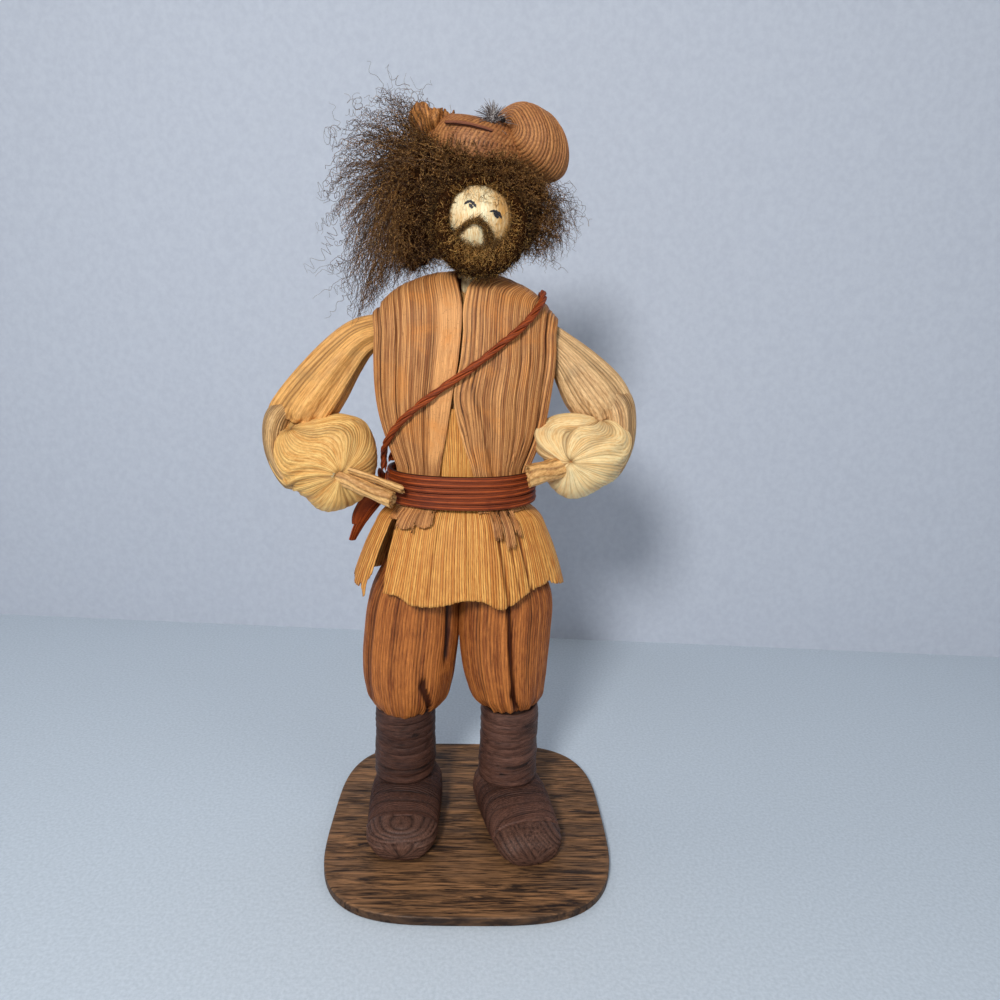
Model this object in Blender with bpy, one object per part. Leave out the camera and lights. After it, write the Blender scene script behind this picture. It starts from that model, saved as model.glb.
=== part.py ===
# A corn husk doll of a bearded man in a vest, sash and hat, standing on a small wooden base.
# Metres, +Z up. The origin is the centre of the base's underside, and the doll faces -Y.
# Right and left are the doll's own, so its right side is at -X.

import math

import bmesh
import bpy
import numpy as np
from mathutils import Matrix, Vector

# Base
BASE_WIDTH = 0.096
BASE_THICKNESS = 0.0032
BASE_EDGE = 0.0006
BASE_ROUNDNESS = 3.54
BASE_OUTLINE_POINTS = 48

# Where the doll's middle stands on the base
STAND_X = -0.0048
STAND_Y = 0.0030

# Fits
SEAT_GAP = 0.0003
LAYER_GAP = 0.0005
CUT_OVERRUN = 0.0020

# Husk
HUSK_THICKNESS = 0.0008
SECTION_ROUNDNESS = 2.4
LIMB_ROUNDNESS = 2.2
FOOT_ROUNDNESS = 2.5
PUFF_ROUNDNESS = 2.1

# Legs
LEG_WIRE_DIAMETER = 0.0020
LEG_SPREAD = 0.0184
RIGHT_LEG_BACK = 0.0040
LEFT_LEG_BACK = 0.0015
HIP_SPREAD = 0.0100
HIP_WIRE_RISE = 0.0095
RIGHT_HEM_Z = 0.0450
LEFT_HEM_Z = 0.0468
KNEE_RISE = 0.0080
TROUSER_TOP_DROP = 0.0075
TROUSER_WIDTH = 0.0308
TROUSER_DEPTH = 0.0284
TIE_DIAMETER = 0.0009

# Boots
SHAFT_DIAMETER = 0.0212
SHAFT_BOTTOM_Z = 0.0178
FOOT_TOP_Z = 0.0174
FOOT_FRONT = 0.0305
FOOT_BACK = 0.0125
FOOT_WIDTH = 0.0252
LEFT_FOOT_TURN = math.radians(14)
SHAFT_STRIP_HEIGHT = 0.0025
SHAFT_STRIP_THICKNESS = 0.0016
SHAFT_STRIP_GAP = 0.00045

# Body, measured at the inside of the tunic
WAIST_WIDTH = 0.0396
WAIST_DEPTH = 0.0250
CHEST_WIDTH = 0.0550
CHEST_DEPTH = 0.0276
SASH_BOTTOM_Z = 0.1190
SASH_HEIGHT = 0.0120
CHEST_HEIGHT = 0.0415
COLLAR_RISE = 0.0175
COLLAR_X = 0.0060
SHOULDER_RISE = 0.0060
CORE_DROP = 0.0070
CORE_RISE = 0.0101
CORE_SHOULDER_X = 0.0212
SASH_TOP_Z = SASH_BOTTOM_Z + SASH_HEIGHT
ARMHOLE_Z = SASH_TOP_Z + CHEST_HEIGHT
COLLAR_Z = ARMHOLE_Z + COLLAR_RISE
SHOULDER_Z = ARMHOLE_Z + SHOULDER_RISE
CORE_BOTTOM_Z = SASH_BOTTOM_Z - CORE_DROP
CORE_TOP_Z = ARMHOLE_Z + CORE_RISE
TROUSER_TOP_Z = SASH_BOTTOM_Z - TROUSER_TOP_DROP
HIP_WIRE_TOP_Z = SASH_BOTTOM_Z + HIP_WIRE_RISE

# Tunic skirt
SKIRT_LENGTH = 0.0275
SKIRT_HEM_Z = SASH_BOTTOM_Z - SKIRT_LENGTH
SKIRT_FRONT_WIDTH = 0.0600
SKIRT_FRONT_DEPTH = 0.0392
SKIRT_BACK_WIDTH = 0.0705
SKIRT_BACK_DEPTH = 0.0336
TUNIC_RISE = 0.0190
TUNIC_TOP_Z = SASH_TOP_Z + TUNIC_RISE

# Vest
VEST_TAB_LENGTH = 0.0035
VEST_HEM_Z = SASH_BOTTOM_Z - VEST_TAB_LENGTH
VEST_WAIST_SHARE = 0.960
VEST_CHEST_SHARE = 0.932
SEAM_TOP_X = 0.0008
SEAM_WAIST_X = -0.0030
SEAM_GAP = 0.0005

# Sash, its knot and tails, and the strap
SASH_BANDS = 6
SASH_STRIP_THICKNESS = 0.0016
SASH_STRIP_GAP = 0.00045
SASH_KNOT_WIDTH = 0.0052
TAIL_WIDTH = 0.0030
TAIL_THICKNESS = 0.0010
TAIL_LENGTH = 0.0210
STRAP_DIAMETER = 0.0020
STRAP_SHOULDER_X = 0.0225

# Arms
ARM_WIRE_DIAMETER = 0.0016
SHOULDER_X = 0.0253
SHOULDER_PIVOT_DROP = 0.0005
SHOULDER_PIVOT_Z = ARMHOLE_Z - SHOULDER_PIVOT_DROP
RIGHT_ELBOW_X = -0.0615
RIGHT_ELBOW_DROP = 0.0280
LEFT_ELBOW_X = 0.0540
LEFT_ELBOW_DROP = 0.0225
RIGHT_ELBOW_Z = ARMHOLE_Z - RIGHT_ELBOW_DROP
LEFT_ELBOW_Z = ARMHOLE_Z - LEFT_ELBOW_DROP
RIGHT_PUFF_WIDTH = 0.0350
RIGHT_PUFF_HEIGHT = 0.0295
LEFT_PUFF_WIDTH = 0.0306
LEFT_PUFF_HEIGHT = 0.0273
RIGHT_PUFF_FORWARD = 0.0040
LEFT_PUFF_FORWARD = 0.0085

# Hands, with their heights above the sash's bottom
RIGHT_WRIST_RISE = 0.0092
RIGHT_TIP_RISE = 0.0032
LEFT_WRIST_RISE = 0.0153
LEFT_TIP_RISE = 0.0119
RIGHT_WRIST = (-0.0365, -0.0140, SASH_BOTTOM_Z + RIGHT_WRIST_RISE)
RIGHT_HAND_TIP = (-0.0207, -0.0166, SASH_BOTTOM_Z + RIGHT_TIP_RISE)
RIGHT_HAND_DIAMETER = 0.0053
LEFT_WRIST = (0.0328, -0.0160, SASH_BOTTOM_Z + LEFT_WRIST_RISE)
LEFT_HAND_TIP = (0.0204, -0.0184, SASH_BOTTOM_Z + LEFT_TIP_RISE)
LEFT_HAND_DIAMETER = 0.0070
HAND_STRIP_DIAMETER = 0.0024
HAND_POCKET_DEPTH = 0.0040

# Head
HEAD_X = 0.0028
HEAD_Y = -0.0040
HEAD_RISE = 0.0145
HEAD_Z = COLLAR_Z + HEAD_RISE
HEAD_DIAMETER = 0.0230
NECK_DIAMETER = 0.0080
NECK_DROP = 0.0068
NECK_WIRE_DROP = 0.0155
NECK_WIRE_RISE = 0.0015
NECK_TIE_DROP = 0.0012
NECK_BOTTOM_Z = COLLAR_Z - NECK_DROP
NECK_WIRE_BOTTOM_Z = COLLAR_Z - NECK_WIRE_DROP
NECK_WIRE_TOP_Z = HEAD_Z + NECK_WIRE_RISE
NECK_TIE_Z = COLLAR_Z - NECK_TIE_DROP
BEARD_RING_RADIUS = 0.0116
BEARD_DROP = 0.0015
BEARD_CHIN_DIAMETER = 0.0078
BEARD_BROW_DIAMETER = 0.0048
MOUSTACHE_DIAMETER = 0.0018
MOUSTACHE_WIDTH = 0.0122

# Hair, each mass as its middle and its width, depth and height
HAIR_CAP_RISE = 0.0037
HAIR_CAP_CENTRE = (0.0028, 0.0020, HEAD_Z + HAIR_CAP_RISE)
HAIR_CAP_SIZE = (0.0380, 0.0310, 0.0310)
HAIR_FACE_Y = -0.0094
HAIR_RIGHT_EDGE_X = -0.0438
HAIR_RIGHT_DROP = 0.0203
HAIR_RIGHT_BOTTOM_Z = HEAD_Z - HAIR_RIGHT_DROP
HAIR_RIGHT_SIZE = (0.0366, 0.0270, 0.0528)
HAIR_LEFT_RISE = 0.0019
HAIR_LEFT_CENTRE = (0.0222, 0.0030, HEAD_Z + HAIR_LEFT_RISE)
HAIR_LEFT_SIZE = (0.0268, 0.0220, 0.0230)

# Hat
HAT_CROWN_RISE = 0.0217
HAT_PUFF_RISE = 0.0239
HAT_FLAP_RISE = 0.0287
HAT_CROWN_CENTRE = (0.0030, 0.0035, HEAD_Z + HAT_CROWN_RISE)
HAT_CROWN_SIZE = (0.0340, 0.0290, 0.0136)
HAT_PUFF_CENTRE = (0.0194, 0.0030, HEAD_Z + HAT_PUFF_RISE)
HAT_PUFF_SIZE = (0.0262, 0.0290, 0.0206)
HAT_PUFF_LEAN = math.radians(36)
HAT_FLAP_CENTRE = (-0.0108, 0.0010, HEAD_Z + HAT_FLAP_RISE)
HAT_FLAP_SIZE = (0.0150, 0.0190, 0.0118)
HAT_BAND_DIAMETER = 0.0014
HAT_PIN_DIAMETER = 0.0018
FEATHER_X = 0.0038
FEATHER_Y = -0.0050
FEATHER_WIDTH = 0.0100
FEATHER_HEIGHT = 0.0066
FEATHER_THICKNESS = 0.0008

# Turned outlines and sections
ROUND_SIDES = 16
WIRE_RESOLUTION = 2
STRIP_SIDES = 6
SHAFT_POINTS_PER_TURN = 16
SASH_POINTS_PER_TURN = 24
SMALLEST_PRINTED_GAP = 0.0004


# Rows run up the doll, each a share of the height from the sash's top to the armhole, with the
# share of the way from the waist's width and depth to the chest's
CHEST_RISE_SHARES = (0.0, 0.22, 0.5, 0.8, 1.0)
CHEST_WIDTH_SHARES = (0.0, 0.42, 0.80, 0.99, 1.0)
CHEST_DEPTH_SHARES = (0.0, 0.57, 1.0, 0.43, -0.5)

# The skirt flares from the sash's bottom to its hem
SKIRT_DROP_SHARES = (0.0, 0.12, 0.35, 0.7, 1.0)
SKIRT_FLARE_SHARES = (0.0, 0.30, 0.55, 0.82, 1.0)

# The torso core above the sash, as shares of the height to the armhole, and then its shoulders: width,
# depth and height
CORE_RISE_SHARES = (0.22, 0.5, 0.72)
CORE_TOP_SHARES = (
    (1.00, 0.96, -0.55),
    (1.00, 0.90, 0.00),
    (0.72, 0.80, 0.55),
    (0.38, 0.62, 1.00),
)

# The strap's route: across, as a share of its place on the shoulder, and up from the sash to the armhole
STRAP_FRONT_SHARES = ((-1.06, 0.00), (-1.03, 0.10), (-0.90, 0.22), (-0.50, 0.43), (-0.04, 0.63),
                      (0.45, 0.84), (0.84, 1.00))
STRAP_BACK_SHARES = ((0.84, 0.98), (0.30, 0.74), (-0.20, 0.50), (-0.62, 0.28), (-0.90, 0.10), (-0.98, 0.00))

# The sash's tails: how far each leans out, how far behind and below the knot's middle it starts, and its
# length
TAIL_SHARES = {
    "sash_tail_long": (0.42, 0.00, 0.65, 1.00),
    "sash_tail_short": (0.10, 0.45, 0.47, 0.55),
}

# A trouser leg from hem to top: height, width, depth, and the leg's middle as a share of its spread
TROUSER_SHARES = (
    (0.00, 0.74, 0.78, 1.00),
    (0.04, 0.88, 0.90, 0.98),
    (0.13, 0.98, 0.98, 0.94),
    (0.28, 1.00, 1.00, 0.90),
    (0.48, 0.99, 1.00, 0.87),
    (0.68, 0.98, 0.96, 0.84),
    (0.84, 0.82, 0.86, 0.70),
    (1.00, 0.63, 0.76, 0.54),
)

# A foot from heel to toe: place along it, width and height
FOOT_SHARES = (
    (0.00, 0.46, 0.50),
    (0.03, 0.68, 0.84),
    (0.10, 0.84, 0.97),
    (0.25, 0.97, 1.00),
    (0.48, 1.00, 0.97),
    (0.60, 0.98, 0.86),
    (0.72, 0.95, 0.76),
)
TOE_SHARES = (
    (0.72, 0.95, 0.76),
    (0.83, 0.92, 0.70),
    (0.93, 0.78, 0.60),
    (0.98, 0.56, 0.44),
    (1.00, 0.32, 0.24),
)

# An upper sleeve's sections from armhole to elbow, as shares of its length: the upper edge's place
# along the arm and off it, the lower edge's, and the half depth
SLEEVE_SHARES = (
    (-0.086, 0.023, -0.009, -0.079, 0.062),
    (-0.063, 0.090, 0.067, -0.092, 0.088),
    (0.012, 0.134, 0.167, -0.094, 0.096),
    (0.285, 0.122, 0.280, -0.132, 0.145),
    (0.614, 0.088, 0.431, -0.197, 0.182),
    (0.860, 0.054, 0.515, -0.218, 0.193),
    (0.985, 0.020, 0.558, -0.230, 0.167),
)

# A sleeve puff's sections from elbow to bottom: the outer edge in and down from the elbow, the inner
# edge in and down, the half depth, and how far it has come forward
PUFF_SHARES = (
    (0.010, -0.020, 0.610, -0.100, 0.20, 0.10),
    (-0.014, 0.186, 0.870, 0.068, 0.29, 0.55),
    (0.014, 0.420, 0.986, 0.340, 0.33, 0.95),
    (0.114, 0.680, 0.957, 0.630, 0.32, 1.00),
    (0.286, 0.900, 0.786, 0.880, 0.24, 1.00),
    (0.430, 0.993, 0.570, 0.993, 0.08, 0.90),
)

# A rolled hand: place along it and radius
ROLL_SHARES = ((0.0, 0.9), (0.25, 1.0), (0.7, 1.0), (1.0, 1.06))

# The moustache, across and up, as shares of its width
MOUSTACHE_SHARES = ((-0.5, -0.40), (-0.25, -0.16), (0.0, -0.06), (0.25, -0.16), (0.5, -0.40))

# The hair that stands out at the right, from its bottom up: height, outer edge, inner edge and depth
HAIR_RIGHT_SHARES = (
    (0.00, 0.14, 0.38, 0.34),
    (0.10, 0.06, 0.56, 0.62),
    (0.28, 0.01, 0.80, 0.84),
    (0.50, 0.00, 0.96, 1.00),
    (0.72, 0.06, 1.00, 0.98),
    (0.88, 0.18, 0.88, 0.76),
    (0.97, 0.32, 0.70, 0.44),
    (1.00, 0.44, 0.56, 0.16),
)

# The hat's band, across and up, as shares of the crown's half width and half height
HAT_BAND_SHARES = ((-0.42, 0.72), (-0.16, 0.74), (0.10, 0.74), (0.27, 0.70))


# Scene and materials

def clear_scene():
    for old in list(bpy.data.objects):
        bpy.data.objects.remove(old, do_unlink=True)


def husk_material(name, colour, roughness=0.7, metallic=0.0):
    made = bpy.data.materials.new(name)
    made.use_nodes = True
    made.diffuse_color = (*colour, 1.0)
    shader = made.node_tree.nodes["Principled BSDF"]
    shader.inputs["Base Color"].default_value = (*colour, 1.0)
    shader.inputs["Roughness"].default_value = roughness
    shader.inputs["Metallic"].default_value = metallic
    return made


# Shared tools

def spot_of(parent):
    # Where a pivot lies, measured from the stand
    spot = Vector((0, 0, 0))
    while parent is not None and parent.parent is not None:
        spot += parent.location
        parent = parent.parent
    return spot


def pivot(name, spot, parent):
    # An empty on a joint's axis, for the pieces that turn there
    made = bpy.data.objects.new(name, None)
    bpy.context.collection.objects.link(made)
    made.parent = parent
    made.location = Vector(spot) - spot_of(parent)
    return made


def place(shape, name, finish, parent):
    # Shapes are drawn from the stand, so a pivot's own place is taken off again
    shape.name = name
    shape.parent = parent
    shape.location = -spot_of(parent)
    shape.data.materials.append(finish)
    return shape


def object_from(bm, name, finish, parent, smooth_angle=math.radians(50)):
    bmesh.ops.recalc_face_normals(bm, faces=bm.faces)
    mesh = bpy.data.meshes.new(name)
    bm.to_mesh(mesh)
    bm.free()
    mesh.shade_smooth()
    mesh.set_sharp_from_angle(angle=smooth_angle)
    shape = bpy.data.objects.new(name, mesh)
    bpy.context.collection.objects.link(shape)
    return place(shape, name, finish, parent)


def signed_power(value, power):
    return math.copysign(abs(value) ** power, value)


def oval(half_a, half_b, angle, roundness=2.0):
    # A point of a rounded outline: a circle or ellipse at roundness 2, squarer above it
    return (half_a * signed_power(math.cos(angle), 2 / roundness),
            half_b * signed_power(math.sin(angle), 2 / roundness))


def section(centre, along_a, along_b, half_a, half_b, sides, roundness=2.0):
    ring = []
    for step in range(sides):
        a, b = oval(half_a, half_b, math.tau * step / sides, roundness)
        ring.append(Vector(centre) + Vector(along_a) * a + Vector(along_b) * b)
    return ring


def loft(rings, name, finish, parent, closed=False):
    # One skin over the rings, capped at both ends, or joined end to end
    bm = bmesh.new()
    rows = [[bm.verts.new(point) for point in ring] for ring in rings]
    pairs = list(zip(rows, rows[1:]))
    if closed:
        pairs.append((rows[-1], rows[0]))
    for lower, upper in pairs:
        for side in range(len(lower)):
            after = (side + 1) % len(lower)
            bm.faces.new((lower[side], lower[after], upper[after], upper[side]))
    if not closed:
        bm.faces.new(rows[0])
        bm.faces.new(rows[-1])
    return object_from(bm, name, finish, parent)


def turned(profile, centre, name, finish, parent, sides=ROUND_SIDES):
    # A profile of (radius, height) points turned about an upright line through the centre. Where the
    # profile starts and ends on that line it closes there, and otherwise its last point meets its first
    bm = bmesh.new()
    rows = []
    for radius, height in profile:
        count = sides if radius > 0 else 1
        rows.append([bm.verts.new((centre[0] + radius * math.cos(math.tau * side / count),
                                   centre[1] + radius * math.sin(math.tau * side / count),
                                   height)) for side in range(count)])
    pairs = list(zip(rows, rows[1:]))
    if profile[0][0] > 0:
        pairs.append((rows[-1], rows[0]))
    for lower, upper in pairs:
        for side in range(sides):
            after = (side + 1) % sides
            corners = [lower[side % len(lower)], lower[after % len(lower)],
                       upper[after % len(upper)], upper[side % len(upper)]]
            bm.faces.new(list(dict.fromkeys(corners)))
    return object_from(bm, name, finish, parent)


def slab(inner, outer, name, finish, parent):
    # A sheet of husk between two like grids of points
    bm = bmesh.new()
    low = [[bm.verts.new(point) for point in row] for row in inner]
    high = [[bm.verts.new(point) for point in row] for row in outer]
    rows, columns = len(low), len(low[0])
    for row in range(rows - 1):
        for column in range(columns - 1):
            corners = ((row, column), (row, column + 1), (row + 1, column + 1), (row + 1, column))
            bm.faces.new([low[i][j] for i, j in corners])
            bm.faces.new([high[i][j] for i, j in reversed(corners)])
    rim = [(0, column) for column in range(columns - 1)]
    rim += [(row, columns - 1) for row in range(rows - 1)]
    rim += [(rows - 1, column) for column in range(columns - 1, 0, -1)]
    rim += [(row, 0) for row in range(rows - 1, 0, -1)]
    for (i, j), (k, m) in zip(rim, rim[1:] + rim[:1]):
        bm.faces.new((low[i][j], high[i][j], high[k][m], low[k][m]))
    return object_from(bm, name, finish, parent)


def ball(centre, size, name, finish, parent, lean=0.0, columns=16, rows=9, grow=0.0):
    bm = bmesh.new()
    bmesh.ops.create_uvsphere(bm, u_segments=columns, v_segments=rows, radius=1)
    half = [length / 2 + grow for length in size]
    turn = Matrix.Rotation(lean, 4, "Y")
    bm.transform(Matrix.Translation(centre) @ turn @ Matrix.Diagonal((*half, 1)))
    return object_from(bm, name, finish, parent)


def wire(route, diameter, name, finish, parent, resolution=WIRE_RESOLUTION):
    curve = bpy.data.curves.new(name, "CURVE")
    curve.dimensions = "3D"
    curve.bevel_depth = diameter / 2
    curve.bevel_resolution = resolution
    curve.use_fill_caps = True
    line = curve.splines.new("POLY")
    line.points.add(len(route) - 1)
    for spot, point in zip(line.points, route):
        spot.co = (*point, 1.0)
    shape = bpy.data.objects.new(name, curve)
    bpy.context.collection.objects.link(shape)
    return place(shape, name, finish, parent)


def smooth_route(points, steps):
    # A smooth curve through the points, read at even steps between each two
    spots = [Vector(point) for point in points]
    spots = [2 * spots[0] - spots[1]] + spots + [2 * spots[-1] - spots[-2]]
    route = []
    for before, start, end, after in zip(spots, spots[1:], spots[2:], spots[3:]):
        for step in range(steps):
            t = step / steps
            route.append(0.5 * (2 * start + (end - before) * t
                                + (2 * before - 5 * start + 4 * end - after) * t ** 2
                                + (3 * start - before - 3 * end + after) * t ** 3))
    route.append(spots[-2])
    return route


def lengthened(route, extra_start, extra_end):
    first, second, last, previous = (Vector(route[i]) for i in (0, 1, -1, -2))
    head = first + (first - second).normalized() * extra_start
    tail = last + (last - previous).normalized() * extra_end
    return [head] + [Vector(point) for point in route[1:-1]] + [tail]


def cutter_from(shape):
    # The shape's own solid as a hidden cutter
    shape.data.materials.clear()
    bpy.context.view_layer.update()
    seen = shape.evaluated_get(bpy.context.evaluated_depsgraph_get())
    mesh = bpy.data.meshes.new_from_object(seen)
    made = bpy.data.objects.new(shape.name, mesh)
    bpy.context.collection.objects.link(made)
    made.parent = shape.parent
    made.location = shape.location
    bpy.data.objects.remove(shape, do_unlink=True)
    made.hide_render = True
    made.display_type = "WIRE"
    return made


def cut(target, cutter):
    step = target.modifiers.new(cutter.name, "BOOLEAN")
    step.operation = "DIFFERENCE"
    step.solver = "EXACT"
    step.object = cutter


def least_gap(rings, points_per_turn):
    # The least distance between two turns of one strip, from the points of its sections
    spots = np.array([[tuple(point) for point in ring] for ring in rings])
    least = math.inf
    for number, ring in enumerate(spots[: -points_per_turn // 2]):
        others = spots[number + points_per_turn // 2:].reshape(-1, 3)
        apart = np.linalg.norm(others[None] - ring[:, None], axis=2).min()
        least = min(least, float(apart))
    return least


def winding(half_width, half_depth, roundness, centre, strip, turns, per_turn, name, finish, parent):
    # A husk strip wound round a leg or the waist, as one unbroken tube of flat section
    height, thickness, gap, bottom = strip
    half_height = height / 2 / math.sin(math.tau / STRIP_SIDES)
    pitch = height + gap
    rings = []
    steps = turns * per_turn
    for step in range(steps + 1):
        angle = math.tau * step / per_turn
        x, y = oval(half_width, half_depth, angle, roundness)
        x2, y2 = oval(half_width, half_depth, angle + math.radians(1), roundness)
        x0, y0 = oval(half_width, half_depth, angle - math.radians(1), roundness)
        ahead = Vector((x2 - x0, y2 - y0, 0)).normalized()
        out = Vector((ahead.y, -ahead.x, 0))
        middle = Vector((centre[0] + x, centre[1] + y, bottom + height / 2 + pitch * step / per_turn))
        if step == 0:
            rings.append(section(middle - ahead * height, out, (0, 0, 1), thickness / 2, half_height,
                                 STRIP_SIDES))
        rings.append(section(middle, out, (0, 0, 1), thickness / 2, half_height, STRIP_SIDES))
    rings.append(section(middle + ahead * height, out, (0, 0, 1), thickness / 2, half_height, STRIP_SIDES))
    apart = least_gap(rings[1:-1], per_turn)
    print(f"{name}: {turns} turns, least gap to itself {apart * 1000:.2f} mm, "
          f"over {SMALLEST_PRINTED_GAP * 1000:.2f} mm: {apart > SMALLEST_PRINTED_GAP}")
    return loft(rings, name, finish, parent)


# Base and legs

def make_base(finish, stand):
    half = BASE_WIDTH / 2
    bm = bmesh.new()
    outline = [oval(half, half, math.tau * (step + 0.5) / BASE_OUTLINE_POINTS, BASE_ROUNDNESS)
               for step in range(BASE_OUTLINE_POINTS)]
    face = bm.faces.new([bm.verts.new((x, y, 0)) for x, y in outline])
    grown = bmesh.ops.extrude_face_region(bm, geom=[face])["geom"]
    bmesh.ops.translate(bm, vec=(0, 0, BASE_THICKNESS),
                        verts=[item for item in grown if isinstance(item, bmesh.types.BMVert)])
    rims = [edge for edge in bm.edges if abs(edge.verts[0].co.z - edge.verts[1].co.z) < BASE_EDGE]
    bmesh.ops.bevel(bm, geom=rims, offset=BASE_EDGE, offset_type="OFFSET", segments=1, affect="EDGES")
    base = object_from(bm, "base_plate", finish, None)
    for side in ("right", "left"):
        route = [(x, y, BASE_THICKNESS * 2) for x, y, _ in leg_route(side)[:1]]
        route.append((*route[0][:2], -CUT_OVERRUN))
        cut(base, cutter_from(wire(route, LEG_WIRE_DIAMETER + 2 * SEAT_GAP, side + "_base_hole", finish,
                                   stand)))
    return base


def leg_place(side):
    if side == "right":
        return -LEG_SPREAD, RIGHT_LEG_BACK
    return LEG_SPREAD, LEFT_LEG_BACK


def hem_z(side):
    return RIGHT_HEM_Z if side == "right" else LEFT_HEM_Z


def leg_route(side):
    x, y = leg_place(side)
    knee = hem_z(side) + KNEE_RISE + 2 * SEAT_GAP
    hip_x = math.copysign(HIP_SPREAD, x)
    return [(x, y, SEAT_GAP), (x, y, knee), (hip_x, 0, HIP_WIRE_TOP_Z)]


def leg_bore(side, name, finish, stand):
    route = lengthened(leg_route(side), CUT_OVERRUN, SEAT_GAP)
    return cutter_from(wire(route, LEG_WIRE_DIAMETER + 2 * SEAT_GAP, side + name, finish, stand))


def make_leg(side, finishes, stand):
    x, y = leg_place(side)
    hem = hem_z(side)
    knee = hem + KNEE_RISE
    bore = leg_bore(side, "_leg_bore", finishes["wire"], stand)
    wire(leg_route(side), LEG_WIRE_DIAMETER, side + "_leg_wire", finishes["wire"], stand)

    core_radius = SHAFT_DIAMETER / 2 - SHAFT_STRIP_THICKNESS - LAYER_GAP
    bore_radius = LEG_WIRE_DIAMETER / 2 + SEAT_GAP
    turned([(core_radius, SHAFT_BOTTOM_Z), (core_radius, knee), (bore_radius, knee),
            (bore_radius, SHAFT_BOTTOM_Z)], (x, y), side + "_boot_core", finishes["boot"], stand)

    wrapped = hem - SEAT_GAP - SHAFT_BOTTOM_Z
    pitch = SHAFT_STRIP_HEIGHT + SHAFT_STRIP_GAP
    turns = int((wrapped - SHAFT_STRIP_HEIGHT) / pitch)
    spare = wrapped - SHAFT_STRIP_HEIGHT - turns * pitch
    middle_radius = SHAFT_DIAMETER / 2 - SHAFT_STRIP_THICKNESS / 2
    winding(middle_radius, middle_radius, 2.0, (x, y),
            (SHAFT_STRIP_HEIGHT, SHAFT_STRIP_THICKNESS, SHAFT_STRIP_GAP, SHAFT_BOTTOM_Z + spare / 2),
            turns, SHAFT_POINTS_PER_TURN, side + "_boot_shaft_wrap", finishes["boot"], stand)

    make_foot(side, bore, finishes, stand)

    tie_middle = core_radius + SEAT_GAP + TIE_DIAMETER / 2
    tie_z = (hem + knee) / 2
    turned([(tie_middle + TIE_DIAMETER / 2 * math.cos(math.tau * step / STRIP_SIDES),
             tie_z + TIE_DIAMETER / 2 * math.sin(math.tau * step / STRIP_SIDES))
            for step in range(STRIP_SIDES)], (x, y), side + "_knee_tie", finishes["thread"], stand)

    rings = []
    for rise, width, depth, spread in TROUSER_SHARES:
        half_width = TROUSER_WIDTH / 2 * width
        middle = max(LEG_SPREAD * spread, half_width + SEAT_GAP)
        z = hem + (TROUSER_TOP_Z - hem) * rise
        rings.append(section((math.copysign(middle, x), y * (1 - rise), z), (1, 0, 0), (0, 1, 0),
                             half_width, TROUSER_DEPTH / 2 * depth, ROUND_SIDES, LIMB_ROUNDNESS))
    leg = loft(rings, side + "_trouser_leg", finishes["trousers"], stand)
    cut(leg, bore)
    pocket_radius = tie_middle + TIE_DIAMETER / 2 + SEAT_GAP
    cut(leg, cutter_from(turned([(0, hem - CUT_OVERRUN), (pocket_radius, hem - CUT_OVERRUN),
                                 (pocket_radius, knee + SEAT_GAP), (0, knee + SEAT_GAP)], (x, y),
                                side + "_knee_pocket", finishes["wire"], stand)))


def make_foot(side, bore, finishes, stand):
    x, y = leg_place(side)
    turn = LEFT_FOOT_TURN if side == "left" else 0.0
    ahead = Vector((math.sin(turn), -math.cos(turn), 0))
    across = Vector((math.cos(turn), math.sin(turn), 0))
    sole = BASE_THICKNESS + SEAT_GAP
    length = FOOT_BACK + FOOT_FRONT

    def rings_of(shares, shift):
        rings = []
        for along, width, height in shares:
            half_height = (FOOT_TOP_Z - sole) / 2 * height
            spot = Vector((x, y, sole + half_height)) + ahead * (along * length - FOOT_BACK + shift)
            rings.append(section(spot, across, (0, 0, 1), FOOT_WIDTH / 2 * width, half_height,
                                 ROUND_SIDES, FOOT_ROUNDNESS))
        return rings

    foot = loft(rings_of(FOOT_SHARES, 0), side + "_boot_foot", finishes["boot"], stand)
    cut(foot, bore)
    loft(rings_of(TOE_SHARES, SEAT_GAP), side + "_toe_cap", finishes["toe"], stand)


# Body

def body_half(z, back=False):
    # Half the width and depth of the tunic's inside at a height
    waist = (WAIST_WIDTH / 2, WAIST_DEPTH / 2)
    if z >= SASH_TOP_Z:
        rise = (z - SASH_TOP_Z) / (ARMHOLE_Z - SASH_TOP_Z)
        wide = np.interp(rise, CHEST_RISE_SHARES, CHEST_WIDTH_SHARES)
        deep = np.interp(rise, CHEST_RISE_SHARES, CHEST_DEPTH_SHARES)
        target = (CHEST_WIDTH / 2, CHEST_DEPTH / 2)
    else:
        drop = (SASH_BOTTOM_Z - z) / (SASH_BOTTOM_Z - SKIRT_HEM_Z)
        wide = deep = np.interp(drop, SKIRT_DROP_SHARES, SKIRT_FLARE_SHARES)
        if back:
            target = (SKIRT_BACK_WIDTH / 2, SKIRT_BACK_DEPTH / 2)
        else:
            target = (SKIRT_FRONT_WIDTH / 2, SKIRT_FRONT_DEPTH / 2)
    return (float(waist[0] + (target[0] - waist[0]) * wide),
            float(waist[1] + (target[1] - waist[1]) * deep))


TUNIC_OUT = HUSK_THICKNESS
VEST_IN = TUNIC_OUT + LAYER_GAP
VEST_OUT = VEST_IN + HUSK_THICKNESS
SASH_IN = VEST_OUT + LAYER_GAP
STRAP_MIDDLE = VEST_OUT + LAYER_GAP + STRAP_DIAMETER / 2


def angle_at(x, half_width):
    # The angle of the body's outline at x, from a quarter turn at the middle to nothing at the side
    share = min(1.0, abs(x) / half_width)
    return math.acos(math.copysign(share ** (SECTION_ROUNDNESS / 2), x))


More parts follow.
